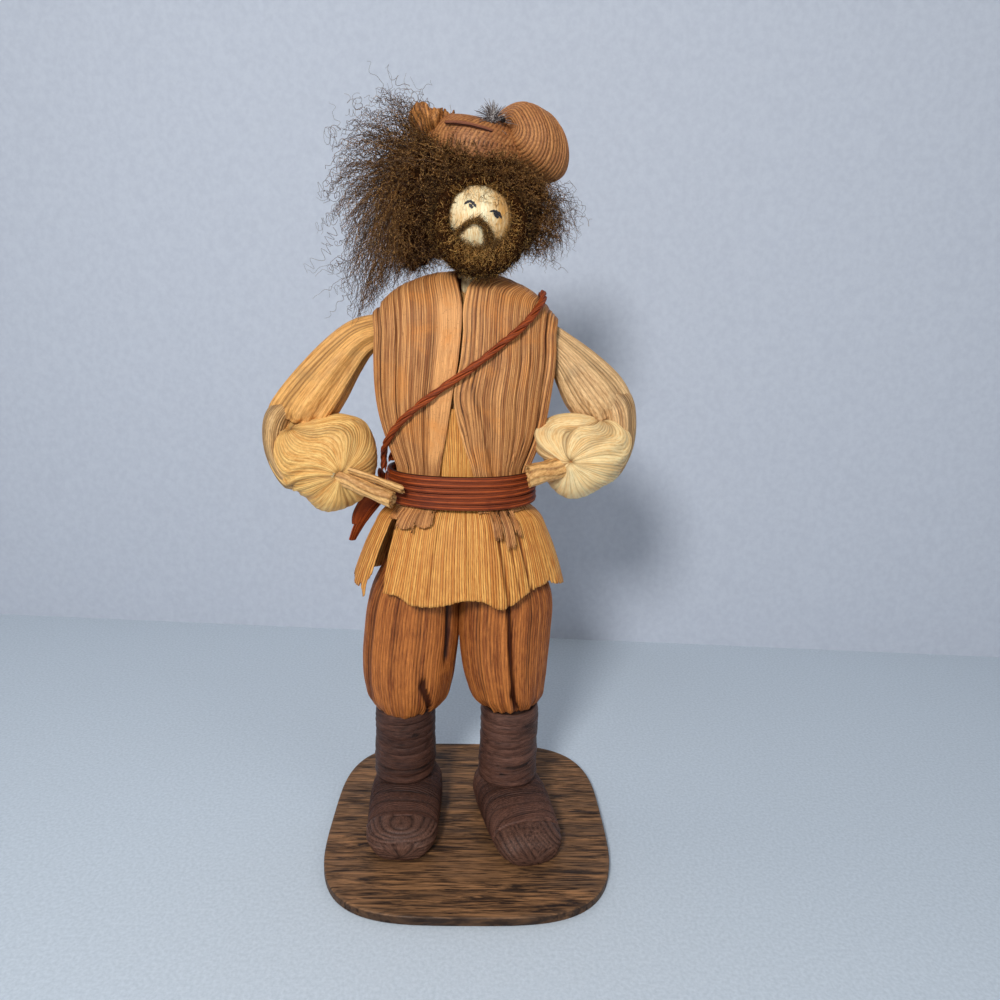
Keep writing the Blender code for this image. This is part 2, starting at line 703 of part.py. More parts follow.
def top_z(x):
    # The shoulder line, level over the neck and falling to the arm
    edge = vest_edge_x("left", ARMHOLE_Z, body_half(ARMHOLE_Z)[0] + VEST_OUT)
    slope = (abs(x) - COLLAR_X) / (edge - COLLAR_X)
    slope = min(1.0, max(0.0, slope))
    return COLLAR_Z + (SHOULDER_Z - COLLAR_Z) * slope ** 1.15


def make_core(finishes, stand):
    tie_z = (SASH_BOTTOM_Z + SASH_TOP_Z) / 2
    groove = TIE_DIAMETER + SEAT_GAP + LAYER_GAP
    rings = []
    rows = [(CORE_BOTTOM_Z, 0), (SASH_BOTTOM_Z, 0), (tie_z - 1.6 * TIE_DIAMETER, 0),
            (tie_z - TIE_DIAMETER, groove), (tie_z + TIE_DIAMETER, groove),
            (tie_z + 1.6 * TIE_DIAMETER, 0), (SASH_TOP_Z, 0)]
    for share in CORE_RISE_SHARES:
        rows.append((SASH_TOP_Z + (ARMHOLE_Z - SASH_TOP_Z) * share, 0))
    for z, depth in rows:
        half_width, half_depth = body_half(max(z, SASH_BOTTOM_Z))
        inset = LAYER_GAP + depth
        rings.append(section((0, 0, z), (1, 0, 0), (0, 1, 0), half_width - inset, half_depth - inset,
                             18, SECTION_ROUNDNESS))
    shoulder_half = body_half(ARMHOLE_Z)[1] - LAYER_GAP
    rise = CORE_TOP_Z - ARMHOLE_Z
    for width, depth, share in CORE_TOP_SHARES:
        rings.append(section((0, 0, ARMHOLE_Z + rise * share), (1, 0, 0), (0, 1, 0),
                             CORE_SHOULDER_X * width, shoulder_half * depth, 18, SECTION_ROUNDNESS))
    core = loft(rings, "torso_core", finishes["straw"], stand)
    for side in ("right", "left"):
        cut(core, leg_bore(side, "_hip_bore", finishes["wire"], stand))
    bore = ARM_WIRE_DIAMETER + 2 * SEAT_GAP
    cut(core, cutter_from(wire(lengthened(shoulder_route(), CUT_OVERRUN, CUT_OVERRUN), bore,
                               "shoulder_bore", finishes["wire"], stand)))
    neck = [(HEAD_X, HEAD_Y, NECK_WIRE_BOTTOM_Z - SEAT_GAP), (HEAD_X, HEAD_Y, CORE_TOP_Z + CUT_OVERRUN)]
    cut(core, cutter_from(wire(neck, bore, "neck_bore", finishes["wire"], stand)))
    wire(shoulder_route(), ARM_WIRE_DIAMETER, "shoulder_wire", finishes["wire"], stand)

    half_width, half_depth = body_half(tie_z)
    inset = LAYER_GAP + groove - SEAT_GAP - TIE_DIAMETER / 2
    rings = []
    for step in range(SASH_POINTS_PER_TURN):
        angle = math.tau * step / SASH_POINTS_PER_TURN
        x, y = oval(half_width - inset, half_depth - inset, angle, SECTION_ROUNDNESS)
        out = Vector((math.cos(angle), math.sin(angle), 0))
        rings.append(section((x, y, tie_z), out, (0, 0, 1), TIE_DIAMETER / 2, TIE_DIAMETER / 2, 4))
    loft(rings, "waist_tie", finishes["thread"], stand, closed=True)


def shoulder_route():
    reach = CORE_SHOULDER_X + 2 * SEAT_GAP
    return [(-reach, 0, SHOULDER_PIVOT_Z), (reach, 0, SHOULDER_PIVOT_Z)]


def make_tunic(finishes, stand):
    for back in (False, True):
        rows = [TUNIC_TOP_Z, SASH_TOP_Z, SASH_BOTTOM_Z]
        rows += [SASH_BOTTOM_Z + (SKIRT_HEM_Z - SASH_BOTTOM_Z) * share for share in SKIRT_DROP_SHARES[1:]]
        start, end = math.radians(18), math.radians(162)
        columns = 17
        inner, outer = [], []
        for z in rows:
            for grid, out in ((inner, 0.0), (outer, TUNIC_OUT)):
                half_width, half_depth = body_half(z, back)
                row = []
                for column in range(columns):
                    share = column / (columns - 1)
                    angle = start + (end - start) * share
                    fold = skirt_fold(z, share, back)
                    x, y = oval(half_width + out + fold, half_depth + out + fold, angle,
                                SECTION_ROUNDNESS)
                    drop = hem_wave(z, share, back)
                    row.append((x, y if back else -y, z + drop))
                grid.append(row)
        name = "tunic_back" if back else "tunic_front"
        slab(inner, outer, name, finishes["tunic"], stand)


def skirt_fold(z, share, back):
    # The skirt's main folds, deeper towards the hem
    if z >= SASH_BOTTOM_Z:
        return 0.0
    drop = (SASH_BOTTOM_Z - z) / (SASH_BOTTOM_Z - SKIRT_HEM_Z)
    folds = 5 if back else 4
    return HUSK_THICKNESS * drop * (1 + math.sin(math.tau * folds * share + (0.8 if back else 2.2)))


def hem_wave(z, share, back):
    if z > SKIRT_HEM_Z + HUSK_THICKNESS:
        return 0.0
    if back:
        return -HUSK_THICKNESS * (1 + math.sin(math.tau * 2.5 * share))
    return HUSK_THICKNESS * (1.6 * abs(2 * share - 1.1) - 1.2 * math.exp(-((share - 0.36) / 0.1) ** 2))


def vest_edge_x(side, z, half_width):
    # The vest panel's outer edge, short of the body's side so that the arm has room
    sign = -1 if side == "right" else 1
    rise = min(1.0, max(0.0, (z - SASH_TOP_Z) / (ARMHOLE_Z - SASH_TOP_Z)))
    return sign * half_width * (VEST_WAIST_SHARE + (VEST_CHEST_SHARE - VEST_WAIST_SHARE) * rise)


def vest_seam_x(side, z):
    sign = -1 if side == "right" else 1
    rise = min(1.0, max(0.0, (z - SASH_TOP_Z) / (ARMHOLE_Z - SASH_TOP_Z)))
    return SEAM_WAIST_X + (SEAM_TOP_X - SEAM_WAIST_X) * rise + sign * SEAM_GAP / 2


def neck_room():
    # The radius that the neck and the thread round it turn in
    return NECK_DIAMETER / 2 + SEAT_GAP + TIE_DIAMETER + LAYER_GAP


def neck_clear_x(side):
    sign = -1 if side == "right" else 1
    return HEAD_X + sign * neck_room()


def vest_columns(first_x, last_x, half_width, count):
    first, last = angle_at(first_x, half_width), angle_at(last_x, half_width)
    return [first + (last - first) * column / (count - 1) for column in range(count)]


def make_vest(side, finishes, stand):
    columns = 7
    straight = [VEST_HEM_Z, SASH_BOTTOM_Z, (SASH_BOTTOM_Z + SASH_TOP_Z) / 2, SASH_TOP_Z]
    straight += [SASH_TOP_Z + (ARMHOLE_Z - SASH_TOP_Z) * share for share in CHEST_RISE_SHARES[1:-1]]
    grids = []
    for out in (VEST_IN, VEST_OUT):
        grid = []
        for front in (True, False):
            part = []
            for z in straight:
                half_width, half_depth = (half + out for half in body_half(z, not front))
                row = []
                edge_x = vest_edge_x(side, z, half_width)
                for angle in vest_columns(vest_seam_x(side, z), edge_x, half_width, columns):
                    x, y = oval(half_width, half_depth, angle, SECTION_ROUNDNESS)
                    row.append((x, -y if front else y, z))
                part.append(row)
            if front:
                grid += part + shoulder_rows(side, out, columns)
            else:
                grid += part[::-1]
        grids.append(grid)
    slab(*grids, side + "_vest_panel", finishes["vest"], stand)


def shoulder_rows(side, out, columns):
    rows = []
    half_width, half_depth = (half + out for half in body_half(ARMHOLE_Z))
    for step in range(7):
        turn = math.pi * step / 6
        round_neck = min(1.0, 1.6 * math.sin(turn))
        seam = vest_seam_x(side, ARMHOLE_Z)
        first_x = seam + (neck_clear_x(side) - seam) * round_neck
        row = []
        edge_x = vest_edge_x(side, ARMHOLE_Z, half_width)
        for angle in vest_columns(first_x, edge_x, half_width, columns):
            x, y = oval(half_width, half_depth, angle, SECTION_ROUNDNESS)
            rise = top_z(x) - HUSK_THICKNESS - VEST_IN - ARMHOLE_Z + out
            row.append((x, -y * math.cos(turn), ARMHOLE_Z + rise * math.sin(turn)))
        rows.append(row)
    return rows


def on_vest(x, z, front, out):
    # A point over the vest's outside, or over its shoulder where z is above the armhole
    half_width, half_depth = (half + out for half in body_half(min(z, ARMHOLE_Z)))
    y = oval(half_width, half_depth, angle_at(x, half_width), SECTION_ROUNDNESS)[1]
    if z > ARMHOLE_Z:
        rise = top_z(x) - HUSK_THICKNESS - VEST_IN - ARMHOLE_Z + out
        y *= math.sqrt(max(0.0, 1 - ((z - ARMHOLE_Z) / rise) ** 2))
    return (x, -y if front else y, z)


def make_sash(finishes, stand):
    half_width, half_depth = body_half(SASH_TOP_Z)
    middle = SASH_IN + SASH_STRIP_THICKNESS / 2
    height = (SASH_TOP_Z - SASH_BOTTOM_Z) / (SASH_BANDS + 1) - SASH_STRIP_GAP
    winding(half_width + middle, half_depth + middle, SECTION_ROUNDNESS, (0, 0),
            (height, SASH_STRIP_THICKNESS, SASH_STRIP_GAP, SASH_BOTTOM_Z), SASH_BANDS,
            SASH_POINTS_PER_TURN, "sash", finishes["sash"], stand)

    out = SASH_IN + SASH_STRIP_THICKNESS + SEAT_GAP + SASH_KNOT_WIDTH / 2
    angle = math.radians(160)
    x, y = oval(half_width + out, half_depth + out, angle, SECTION_ROUNDNESS)
    knot_z = SASH_BOTTOM_Z + SASH_KNOT_WIDTH
    ball((x, y, knot_z), (SASH_KNOT_WIDTH, SASH_KNOT_WIDTH, SASH_KNOT_WIDTH * 1.3), "sash_knot",
         finishes["sash"], stand, columns=12, rows=8)
    for name, (lean, back, under, length) in TAIL_SHARES.items():
        rings = []
        for step in range(7):
            share = step / 6
            twist = 1.6 * share
            along = Vector((math.cos(twist), math.sin(twist), 0))
            beside = Vector((-math.sin(twist), math.cos(twist), 0))
            top = knot_z - SASH_KNOT_WIDTH * under - SEAT_GAP - TAIL_THICKNESS / 2
            spot = (x - TAIL_LENGTH * lean * share ** 0.8 * length, y + back * SASH_KNOT_WIDTH,
                    top - TAIL_LENGTH * length * share)
            width = TAIL_WIDTH / 2 * (0.55 + 0.45 * math.sin(math.pi * min(1.0, share * 1.4 + 0.1)))
            rings.append(section(spot, along, beside, width, TAIL_THICKNESS / 2, 8))
        loft(rings, name, finishes["sash"], stand)


def strap_route():
    # The strap runs from the sash at the right side over the left shoulder and down the back
    low = SASH_TOP_Z + STRAP_DIAMETER
    span = ARMHOLE_Z - low
    points = [on_vest(STRAP_SHOULDER_X * across, low + span * up, True, STRAP_MIDDLE)
              for across, up in STRAP_FRONT_SHARES]
    half_width, half_depth = (half + STRAP_MIDDLE for half in body_half(ARMHOLE_Z))
    y = oval(half_width, half_depth, angle_at(STRAP_SHOULDER_X, half_width), SECTION_ROUNDNESS)[1]
    rise = top_z(STRAP_SHOULDER_X) - HUSK_THICKNESS - VEST_IN - ARMHOLE_Z + STRAP_MIDDLE
    for step in range(1, 6):
        turn = math.pi * step / 6
        points.append((STRAP_SHOULDER_X, -y * math.cos(turn), ARMHOLE_Z + rise * math.sin(turn)))
    points += [on_vest(STRAP_SHOULDER_X * across, low + span * up, False, STRAP_MIDDLE)
               for across, up in STRAP_BACK_SHARES]
    return smooth_route(points, 2)


# Arms

def arm_frame(side):
    sign = -1 if side == "right" else 1
    shoulder = Vector((sign * SHOULDER_X, 0, SHOULDER_PIVOT_Z))
    if side == "right":
        elbow = Vector((RIGHT_ELBOW_X, 0, RIGHT_ELBOW_Z))
    else:
        elbow = Vector((LEFT_ELBOW_X, 0, LEFT_ELBOW_Z))
    down = (elbow - shoulder).normalized()
    off = Vector((sign * abs(down.z), 0, abs(down.x)))
    return sign, shoulder, elbow, down, off


def make_upper_arm(side, finishes, stand):
    sign, shoulder, elbow, down, off = arm_frame(side)
    length = (elbow - shoulder).length
    rings = []
    middles = []
    for upper_along, upper_off, lower_along, lower_off, depth in SLEEVE_SHARES:
        upper = shoulder + (down * upper_along + off * upper_off) * length
        lower = shoulder + (down * lower_along + off * lower_off) * length
        middle = (upper + lower) / 2
        middles.append(middle)
        rings.append(section(middle, (upper - lower).normalized(), (0, 1, 0), (upper - lower).length / 2,
                             depth * length, ROUND_SIDES, LIMB_ROUNDNESS))
    sleeve = loft(rings, side + "_upper_sleeve", finishes["sleeve"], stand)
    start = Vector((math.copysign(CORE_SHOULDER_X + 3 * SEAT_GAP, sign), 0, SHOULDER_PIVOT_Z))
    bend = elbow + (shoulder - elbow) * 0.14 - off * length * 0.03
    route = smooth_route([start, middles[1], middles[3], bend], 3)
    wire(route, ARM_WIRE_DIAMETER, side + "_upper_arm_wire", finishes["wire"], stand)
    bore = wire(lengthened(route, CUT_OVERRUN, SEAT_GAP), ARM_WIRE_DIAMETER + 2 * SEAT_GAP,
                side + "_upper_bore", finishes["wire"], stand)
    cut(sleeve, cutter_from(bore))


def hand_sizes(side):
    if side == "right":
        return Vector(RIGHT_WRIST), Vector(RIGHT_HAND_TIP), RIGHT_HAND_DIAMETER
    return Vector(LEFT_WRIST), Vector(LEFT_HAND_TIP), LEFT_HAND_DIAMETER


def make_forearm(side, finishes, stand):
    sign, shoulder, elbow, down, off = arm_frame(side)
    if side == "right":
        width, height, forward = RIGHT_PUFF_WIDTH, RIGHT_PUFF_HEIGHT, RIGHT_PUFF_FORWARD
    else:
        width, height, forward = LEFT_PUFF_WIDTH, LEFT_PUFF_HEIGHT, LEFT_PUFF_FORWARD
    rings = []
    for outer_in, outer_down, inner_in, inner_down, depth, ahead in PUFF_SHARES:
        outer = elbow + Vector((-sign * width * outer_in, -forward * ahead, -height * outer_down))
        inner = elbow + Vector((-sign * width * inner_in, -forward * ahead, -height * inner_down))
        rings.append(section((outer + inner) / 2, (outer - inner).normalized(), (0, 1, 0),
                             (outer - inner).length / 2, depth * width, ROUND_SIDES,
                             PUFF_ROUNDNESS))
    puff = loft(rings, side + "_sleeve_puff", finishes["sleeve"], stand)

    wrist, tip, diameter = hand_sizes(side)
    axis = (tip - wrist).normalized()
    inside = wrist - axis * HAND_POCKET_DEPTH
    bore_diameter = ARM_WIRE_DIAMETER + 2 * SEAT_GAP
    start = elbow + Vector((-sign * width * 0.16, -forward * 0.4, -height * 0.14))
    route = smooth_route([start, (start + inside) / 2 - Vector((0, 0, height * 0.03)), inside,
                          tip - axis * diameter * 0.6], 4)
    wire(route, ARM_WIRE_DIAMETER, side + "_forearm_wire", finishes["wire"], stand)
    bore = cutter_from(wire(lengthened(route, SEAT_GAP, CUT_OVERRUN + diameter), bore_diameter,
                            side + "_forearm_bore", finishes["wire"], stand))
    pocket_diameter = diameter + 4 * SEAT_GAP + 2 * TIE_DIAMETER
    pocket = wire([inside, wrist + axis * HAND_POCKET_DEPTH * 2], pocket_diameter, side + "_wrist_pocket",
                  finishes["wire"], stand, resolution=4)
    cut(puff, bore)
    cut(puff, cutter_from(pocket))

    up = Vector((0, 0, 1))
    beside = axis.cross(up).normalized()
    over = beside.cross(axis).normalized()

    def roll(first, last, radius, name):
        rings = []
        for share, size in ROLL_SHARES:
            rings.append(section(first.lerp(last, share), beside, over, radius * size, radius * size, 10))
        return loft(rings, name, finishes["straw"], stand)

    hand = roll(inside + axis * SEAT_GAP, tip, diameter / 2, side + "_hand_roll")
    cut(hand, bore)
    if side == "right":
        lift = over * (diameter / 2 * 1.06 + HAND_STRIP_DIAMETER / 2 * 1.06 + SEAT_GAP)
        lead = axis * (HAND_POCKET_DEPTH + TIE_DIAMETER)
        roll(inside + lead + lift, tip + lift + axis * TIE_DIAMETER, HAND_STRIP_DIAMETER / 2,
             "right_hand_strip")
    rings = []
    ring_radius = diameter / 2 + SEAT_GAP + TIE_DIAMETER / 2
    middle = inside + axis * (HAND_POCKET_DEPTH * 0.5)
    for step in range(ROUND_SIDES):
        angle = math.tau * step / ROUND_SIDES
        out = beside * math.cos(angle) + over * math.sin(angle)
        rings.append(section(middle + out * ring_radius, out, axis, TIE_DIAMETER / 2, TIE_DIAMETER / 2, 5))
    loft(rings, side + "_wrist_tie", finishes["thread"], stand, closed=True)


# Head, hair and hat

def make_head(finishes, turns, stand):
    # All of it turns on the neck wire, which stays in the body
    radius = HEAD_DIAMETER / 2
    neck_radius = NECK_DIAMETER / 2
    inner_radius = radius - HUSK_THICKNESS
    inner_neck = neck_radius - HUSK_THICKNESS
    outer_join = math.asin(neck_radius / radius)
    inner_join = math.asin(inner_neck / inner_radius)
    profile = [(0.0, HEAD_Z + radius)]
    for step in range(1, 9):
        turn = (math.pi - outer_join) * step / 8
        profile.append((radius * math.sin(turn), HEAD_Z + radius * math.cos(turn)))
    profile += [(neck_radius, NECK_BOTTOM_Z), (inner_neck, NECK_BOTTOM_Z)]
    for step in range(6, 0, -1):
        turn = (math.pi - inner_join) * step / 6
        profile.append((inner_radius * math.sin(turn), HEAD_Z + inner_radius * math.cos(turn)))
    profile.append((0.0, HEAD_Z + inner_radius))
    turned(profile, (HEAD_X, HEAD_Y), "head_husk", finishes["face"], turns)

    core_size = HEAD_DIAMETER - 2 * HUSK_THICKNESS - 4 * SEAT_GAP
    core = ball((HEAD_X, HEAD_Y, HEAD_Z), (core_size,) * 3, "head_core", finishes["straw"], turns,
                columns=14, rows=9)
    bore = [(HEAD_X, HEAD_Y, HEAD_Z - radius), (HEAD_X, HEAD_Y, NECK_WIRE_TOP_Z + SEAT_GAP)]
    cut(core, cutter_from(wire(bore, ARM_WIRE_DIAMETER + 2 * SEAT_GAP, "head_bore", finishes["wire"], turns)))
    wire([(HEAD_X, HEAD_Y, NECK_WIRE_BOTTOM_Z), (HEAD_X, HEAD_Y, NECK_WIRE_TOP_Z)], ARM_WIRE_DIAMETER,
         "neck_wire", finishes["wire"], stand)
    tie = neck_radius + SEAT_GAP + TIE_DIAMETER / 2
    turned([(tie + TIE_DIAMETER / 2 * math.cos(math.tau * step / STRIP_SIDES),
             NECK_TIE_Z + TIE_DIAMETER / 2 * math.sin(math.tau * step / STRIP_SIDES))
            for step in range(STRIP_SIDES)], (HEAD_X, HEAD_Y), "neck_tie", finishes["thread"], turns)

    rings = []
    for step in range(24):
        angle = math.tau * step / 24
        chin = (1 - math.sin(angle)) / 2
        thick = (BEARD_BROW_DIAMETER + (BEARD_CHIN_DIAMETER - BEARD_BROW_DIAMETER) * chin) / 2
        flat = Vector((math.cos(angle), 0, math.sin(angle))) * BEARD_RING_RADIUS
        flat.z -= BEARD_DROP
        away = radius + LAYER_GAP + thick
        y = -math.sqrt(max(thick ** 2, away ** 2 - flat.length ** 2))
        rings.append(section(Vector((HEAD_X, HEAD_Y, HEAD_Z)) + flat + Vector((0, y, 0)),
                             flat.normalized(), (0, 1, 0), thick, thick, 8))
    loft(rings, "beard_ring", finishes["hair"], turns, closed=True)

    away = radius + LAYER_GAP + MOUSTACHE_DIAMETER / 2
    points = []
    for across, up in MOUSTACHE_SHARES:
        x, z = MOUSTACHE_WIDTH * across, MOUSTACHE_WIDTH * up
        points.append((HEAD_X + x, HEAD_Y - math.sqrt(away ** 2 - x ** 2 - z ** 2), HEAD_Z + z))
    wire(smooth_route(points, 3), MOUSTACHE_DIAMETER, "moustache", finishes["hair"], turns)


def grown_ball(centre, size, name, finishes, turns):
    return cutter_from(ball(centre, size, name, finishes["wire"], turns, columns=20, rows=11,
                            grow=LAYER_GAP))


def make_hair_and_hat(finishes, turns):
    head = (HEAD_X, HEAD_Y, HEAD_Z)
    head_cut = grown_ball(head, (HEAD_DIAMETER,) * 3, "head_room", finishes, turns)
    cap_cut = grown_ball(HAIR_CAP_CENTRE, HAIR_CAP_SIZE, "hair_room", finishes, turns)
    left_cut = grown_ball(HAIR_LEFT_CENTRE, HAIR_LEFT_SIZE, "left_hair_room", finishes, turns)
    crown_cut = grown_ball(HAT_CROWN_CENTRE, HAT_CROWN_SIZE, "crown_room", finishes, turns)
    flap_cut = grown_ball(HAT_FLAP_CENTRE, HAT_FLAP_SIZE, "flap_room", finishes, turns)
    neck_cut = cutter_from(turned([(0, NECK_BOTTOM_Z), (neck_room(), NECK_BOTTOM_Z),
                                   (neck_room(), HEAD_Z), (0, HEAD_Z)], (HEAD_X, HEAD_Y), "neck_room",
                                  finishes["wire"], turns))
    face_size = HAIR_CAP_SIZE[0]
    bm = bmesh.new()
    bmesh.ops.create_cube(bm, size=1)
    bm.transform(Matrix.Translation((HEAD_X, HAIR_FACE_Y - face_size / 2, HEAD_Z))
                 @ Matrix.Diagonal((face_size * 2, face_size, face_size * 2, 1)))
    face_cut = cutter_from(object_from(bm, "face_room", finishes["wire"], turns))

    cap = ball(HAIR_CAP_CENTRE, HAIR_CAP_SIZE, "hair_cap", finishes["hair"], turns)
    for cutter in (head_cut, neck_cut, face_cut):
        cut(cap, cutter)
    rings = []
    width, depth, height = HAIR_RIGHT_SIZE
    for up, outer, inner, deep in HAIR_RIGHT_SHARES:
        middle = (HAIR_RIGHT_EDGE_X + width * (outer + inner) / 2, HAIR_CAP_CENTRE[1],
                  HAIR_RIGHT_BOTTOM_Z + height * up)
        rings.append(section(middle, (1, 0, 0), (0, 1, 0), width * (inner - outer) / 2, depth / 2 * deep,
                             ROUND_SIDES))
    right = loft(rings, "hair_right", finishes["hair"], turns)
    for cutter in (cap_cut, crown_cut, flap_cut):
        cut(right, cutter)
    left = ball(HAIR_LEFT_CENTRE, HAIR_LEFT_SIZE, "hair_left", finishes["hair"], turns, columns=14, rows=9)
    cut(left, cap_cut)

    crown = ball(HAT_CROWN_CENTRE, HAT_CROWN_SIZE, "hat_crown", finishes["hat"], turns)
    cut(crown, cap_cut)
    puff = ball(HAT_PUFF_CENTRE, HAT_PUFF_SIZE, "hat_puff", finishes["hat"], turns, lean=HAT_PUFF_LEAN)
    for cutter in (cap_cut, left_cut, crown_cut):
        cut(puff, cutter)
    flap = ball(HAT_FLAP_CENTRE, HAT_FLAP_SIZE, "hat_flap", finishes["hat"], turns, columns=14, rows=9)
    for cutter in (cap_cut, crown_cut):
        cut(flap, cutter)

    half = [length / 2 for length in HAT_CROWN_SIZE]
    out = LAYER_GAP + HAT_BAND_DIAMETER / 2
    points = []
    for across, lift in HAT_BAND_SHARES:
        back = math.sqrt(max(0.0, 1 - across ** 2 - lift ** 2))
        away = Vector((across / half[0], -back / half[1], lift / half[2])).normalized() * out
        points.append(Vector(HAT_CROWN_CENTRE) + Vector((half[0] * across, -half[1] * back, half[2] * lift))
                      + away)
    wire(smooth_route(points, 3), HAT_BAND_DIAMETER, "hat_band", finishes["sash"], turns)
    pin = points[-1] + Vector((HAT_BAND_DIAMETER / 2 + HAT_PIN_DIAMETER / 2 + SEAT_GAP, 0, 0))
    ball(pin - Vector((0, out, 0)), (HAT_PIN_DIAMETER,) * 3, "hat_pin", finishes["wire"], turns, columns=8,
         rows=6)

    across, back = (FEATHER_X - HAT_CROWN_CENTRE[0]) / half[0], (FEATHER_Y - HAT_CROWN_CENTRE[1]) / half[1]
    root_z = HAT_CROWN_CENTRE[2] + half[2] * math.sqrt(1 - across ** 2 - back ** 2) + LAYER_GAP
    front, back = [], []
    for row in (0.0, 0.5, 1.0):
        for grid, shift in ((front, -0.5), (back, 0.5)):
            line = []
            for column in range(7):
                share = column / 6 - 0.5
                fan = 0.16 + 0.84 * row
                lift = row * (1 - 0.5 * (2 * share) ** 2)
                line.append((FEATHER_X + FEATHER_WIDTH * share * fan,
                             FEATHER_Y + FEATHER_THICKNESS * shift,
                             root_z + FEATHER_HEIGHT * lift))
            grid.append(line)
    slab(front, back, "feather", finishes["feather"], turns)


def main():
    clear_scene()
    stand = bpy.data.objects.new("doll_stand", None)
    stand.location = (STAND_X, STAND_Y, 0)
    bpy.context.collection.objects.link(stand)
    finishes = {
        "wood": husk_material("stained_wood", (0.10, 0.055, 0.03), 0.55),
        "wire": husk_material("iron_wire", (0.35, 0.34, 0.33), 0.4, 1.0),
        "thread": husk_material("waxed_thread", (0.55, 0.45, 0.30), 0.8),
        "boot": husk_material("dark_husk", (0.055, 0.028, 0.022)),
        "toe": husk_material("toe_husk", (0.085, 0.05, 0.04)),
        "trousers": husk_material("rust_husk", (0.33, 0.12, 0.035)),
        "tunic": husk_material("golden_husk", (0.56, 0.30, 0.09)),
        "vest": husk_material("tan_husk", (0.42, 0.19, 0.075)),
        "sash": husk_material("red_brown_husk", (0.18, 0.045, 0.02)),
        "straw": husk_material("straw_husk", (0.66, 0.46, 0.23)),
        "sleeve": husk_material("pale_husk", (0.70, 0.52, 0.27)),
        "face": husk_material("cream_husk", (0.80, 0.62, 0.32)),
        "hair": husk_material("brown_hair", (0.045, 0.022, 0.010), 0.5),
        "hat": husk_material("hat_husk", (0.56, 0.27, 0.12)),
        "feather": husk_material("grey_feather", (0.20, 0.19, 0.18), 0.8),
    }
    make_base(finishes["wood"], stand)
    for side in ("right", "left"):
        shoulder_spot, elbow_spot = arm_frame(side)[1:3]
        shoulder = pivot(side + "_shoulder_pivot", shoulder_spot, stand)
        elbow = pivot(side + "_elbow_pivot", elbow_spot, shoulder)
        make_leg(side, finishes, stand)
        make_vest(side, finishes, stand)
        make_upper_arm(side, finishes, shoulder)
        make_forearm(side, finishes, elbow)
    make_core(finishes, stand)
    make_tunic(finishes, stand)
    make_sash(finishes, stand)
    wire(strap_route(), STRAP_DIAMETER, "shoulder_strap", finishes["sash"], stand)
    neck_pivot = pivot("neck_pivot", (HEAD_X, HEAD_Y, NECK_TIE_Z), stand)
    make_head(finishes, neck_pivot, stand)
    make_hair_and_hat(finishes, neck_pivot)


main()
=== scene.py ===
import math

import bpy
import numpy as np
from mathutils import Matrix, Vector


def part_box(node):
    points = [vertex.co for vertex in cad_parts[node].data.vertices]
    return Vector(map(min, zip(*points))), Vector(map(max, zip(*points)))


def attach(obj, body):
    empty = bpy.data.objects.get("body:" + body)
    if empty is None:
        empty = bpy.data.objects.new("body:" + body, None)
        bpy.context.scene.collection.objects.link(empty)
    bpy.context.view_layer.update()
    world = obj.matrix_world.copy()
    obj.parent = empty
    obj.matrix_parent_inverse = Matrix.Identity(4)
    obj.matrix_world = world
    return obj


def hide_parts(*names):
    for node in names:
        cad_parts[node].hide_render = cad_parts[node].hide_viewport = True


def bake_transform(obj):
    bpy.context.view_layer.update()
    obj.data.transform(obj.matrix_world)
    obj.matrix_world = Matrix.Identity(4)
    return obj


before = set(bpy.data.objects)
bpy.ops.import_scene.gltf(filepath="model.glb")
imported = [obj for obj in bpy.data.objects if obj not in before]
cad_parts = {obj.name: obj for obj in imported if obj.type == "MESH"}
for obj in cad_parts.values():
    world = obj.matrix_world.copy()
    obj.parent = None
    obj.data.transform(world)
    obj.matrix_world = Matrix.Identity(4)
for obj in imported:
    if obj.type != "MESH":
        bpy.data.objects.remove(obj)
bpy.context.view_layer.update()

# Lengths here are millimetres from where the doll stands on its base: +X is its own left, -Y its front
mm = 0.001
tau = math.tau
lowCore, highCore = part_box("torso_core")
stand = np.array([(lowCore.x + highCore.x) / 2, (lowCore.y + highCore.y) / 2, 0.0]) / mm
bodyRoundness = 2.4  # of the ovals round the body, where 2 is an ellipse


# Number helpers

def along(where, places, values):
    # a smooth curve through a table's values, read at each place
    places, values = np.asarray(places, float), np.asarray(values, float)
    slopes = np.gradient(values, places)
    where = np.clip(where, places[0], places[-1])
    step = np.clip(np.searchsorted(places, where, side="right") - 1, 0, len(places) - 2)
    width = places[step + 1] - places[step]
    t = (where - places[step]) / width
    return ((2 * t**3 - 3 * t**2 + 1) * values[step] + (t**3 - 2 * t**2 + t) * width * slopes[step]
            + (3 * t**2 - 2 * t**3) * values[step + 1] + (t**3 - t**2) * width * slopes[step + 1])


def column(table, place):
    return [row[place] for row in table]


def read(table, place, where):
    # a smooth curve through a table's column; its first column says where
    return along(where, column(table, 0), column(table, place))


def readEven(table, place, share):
    # the same through rows that are evenly spaced
    return along(share, np.linspace(0, 1, len(table)), column(table, place))


def route(points, t):
    # a smooth line through points, read at shares of its length
    points = np.asarray(points, float)
    steps = np.linalg.norm(np.diff(points, axis=0), axis=1)
    places = np.concatenate([[0], np.cumsum(steps)]) / steps.sum()
    return np.stack([along(t, places, points[:, axis]) for axis in range(3)], -1)


def waves(t, seed, count, wrapped=False):
    # an uneven wave of about -1 to 1; wrapped, it meets itself after one turn
    chance = np.random.RandomState(seed)
    total = 0.0
    for turn in range(1, count + 1):
        rate = turn if wrapped else turn * chance.uniform(0.8, 1.15)
        total = total + chance.uniform(0.5, 1) * np.sin(tau * (rate * t + chance.uniform()))
    return total / math.sqrt(count) * 0.9


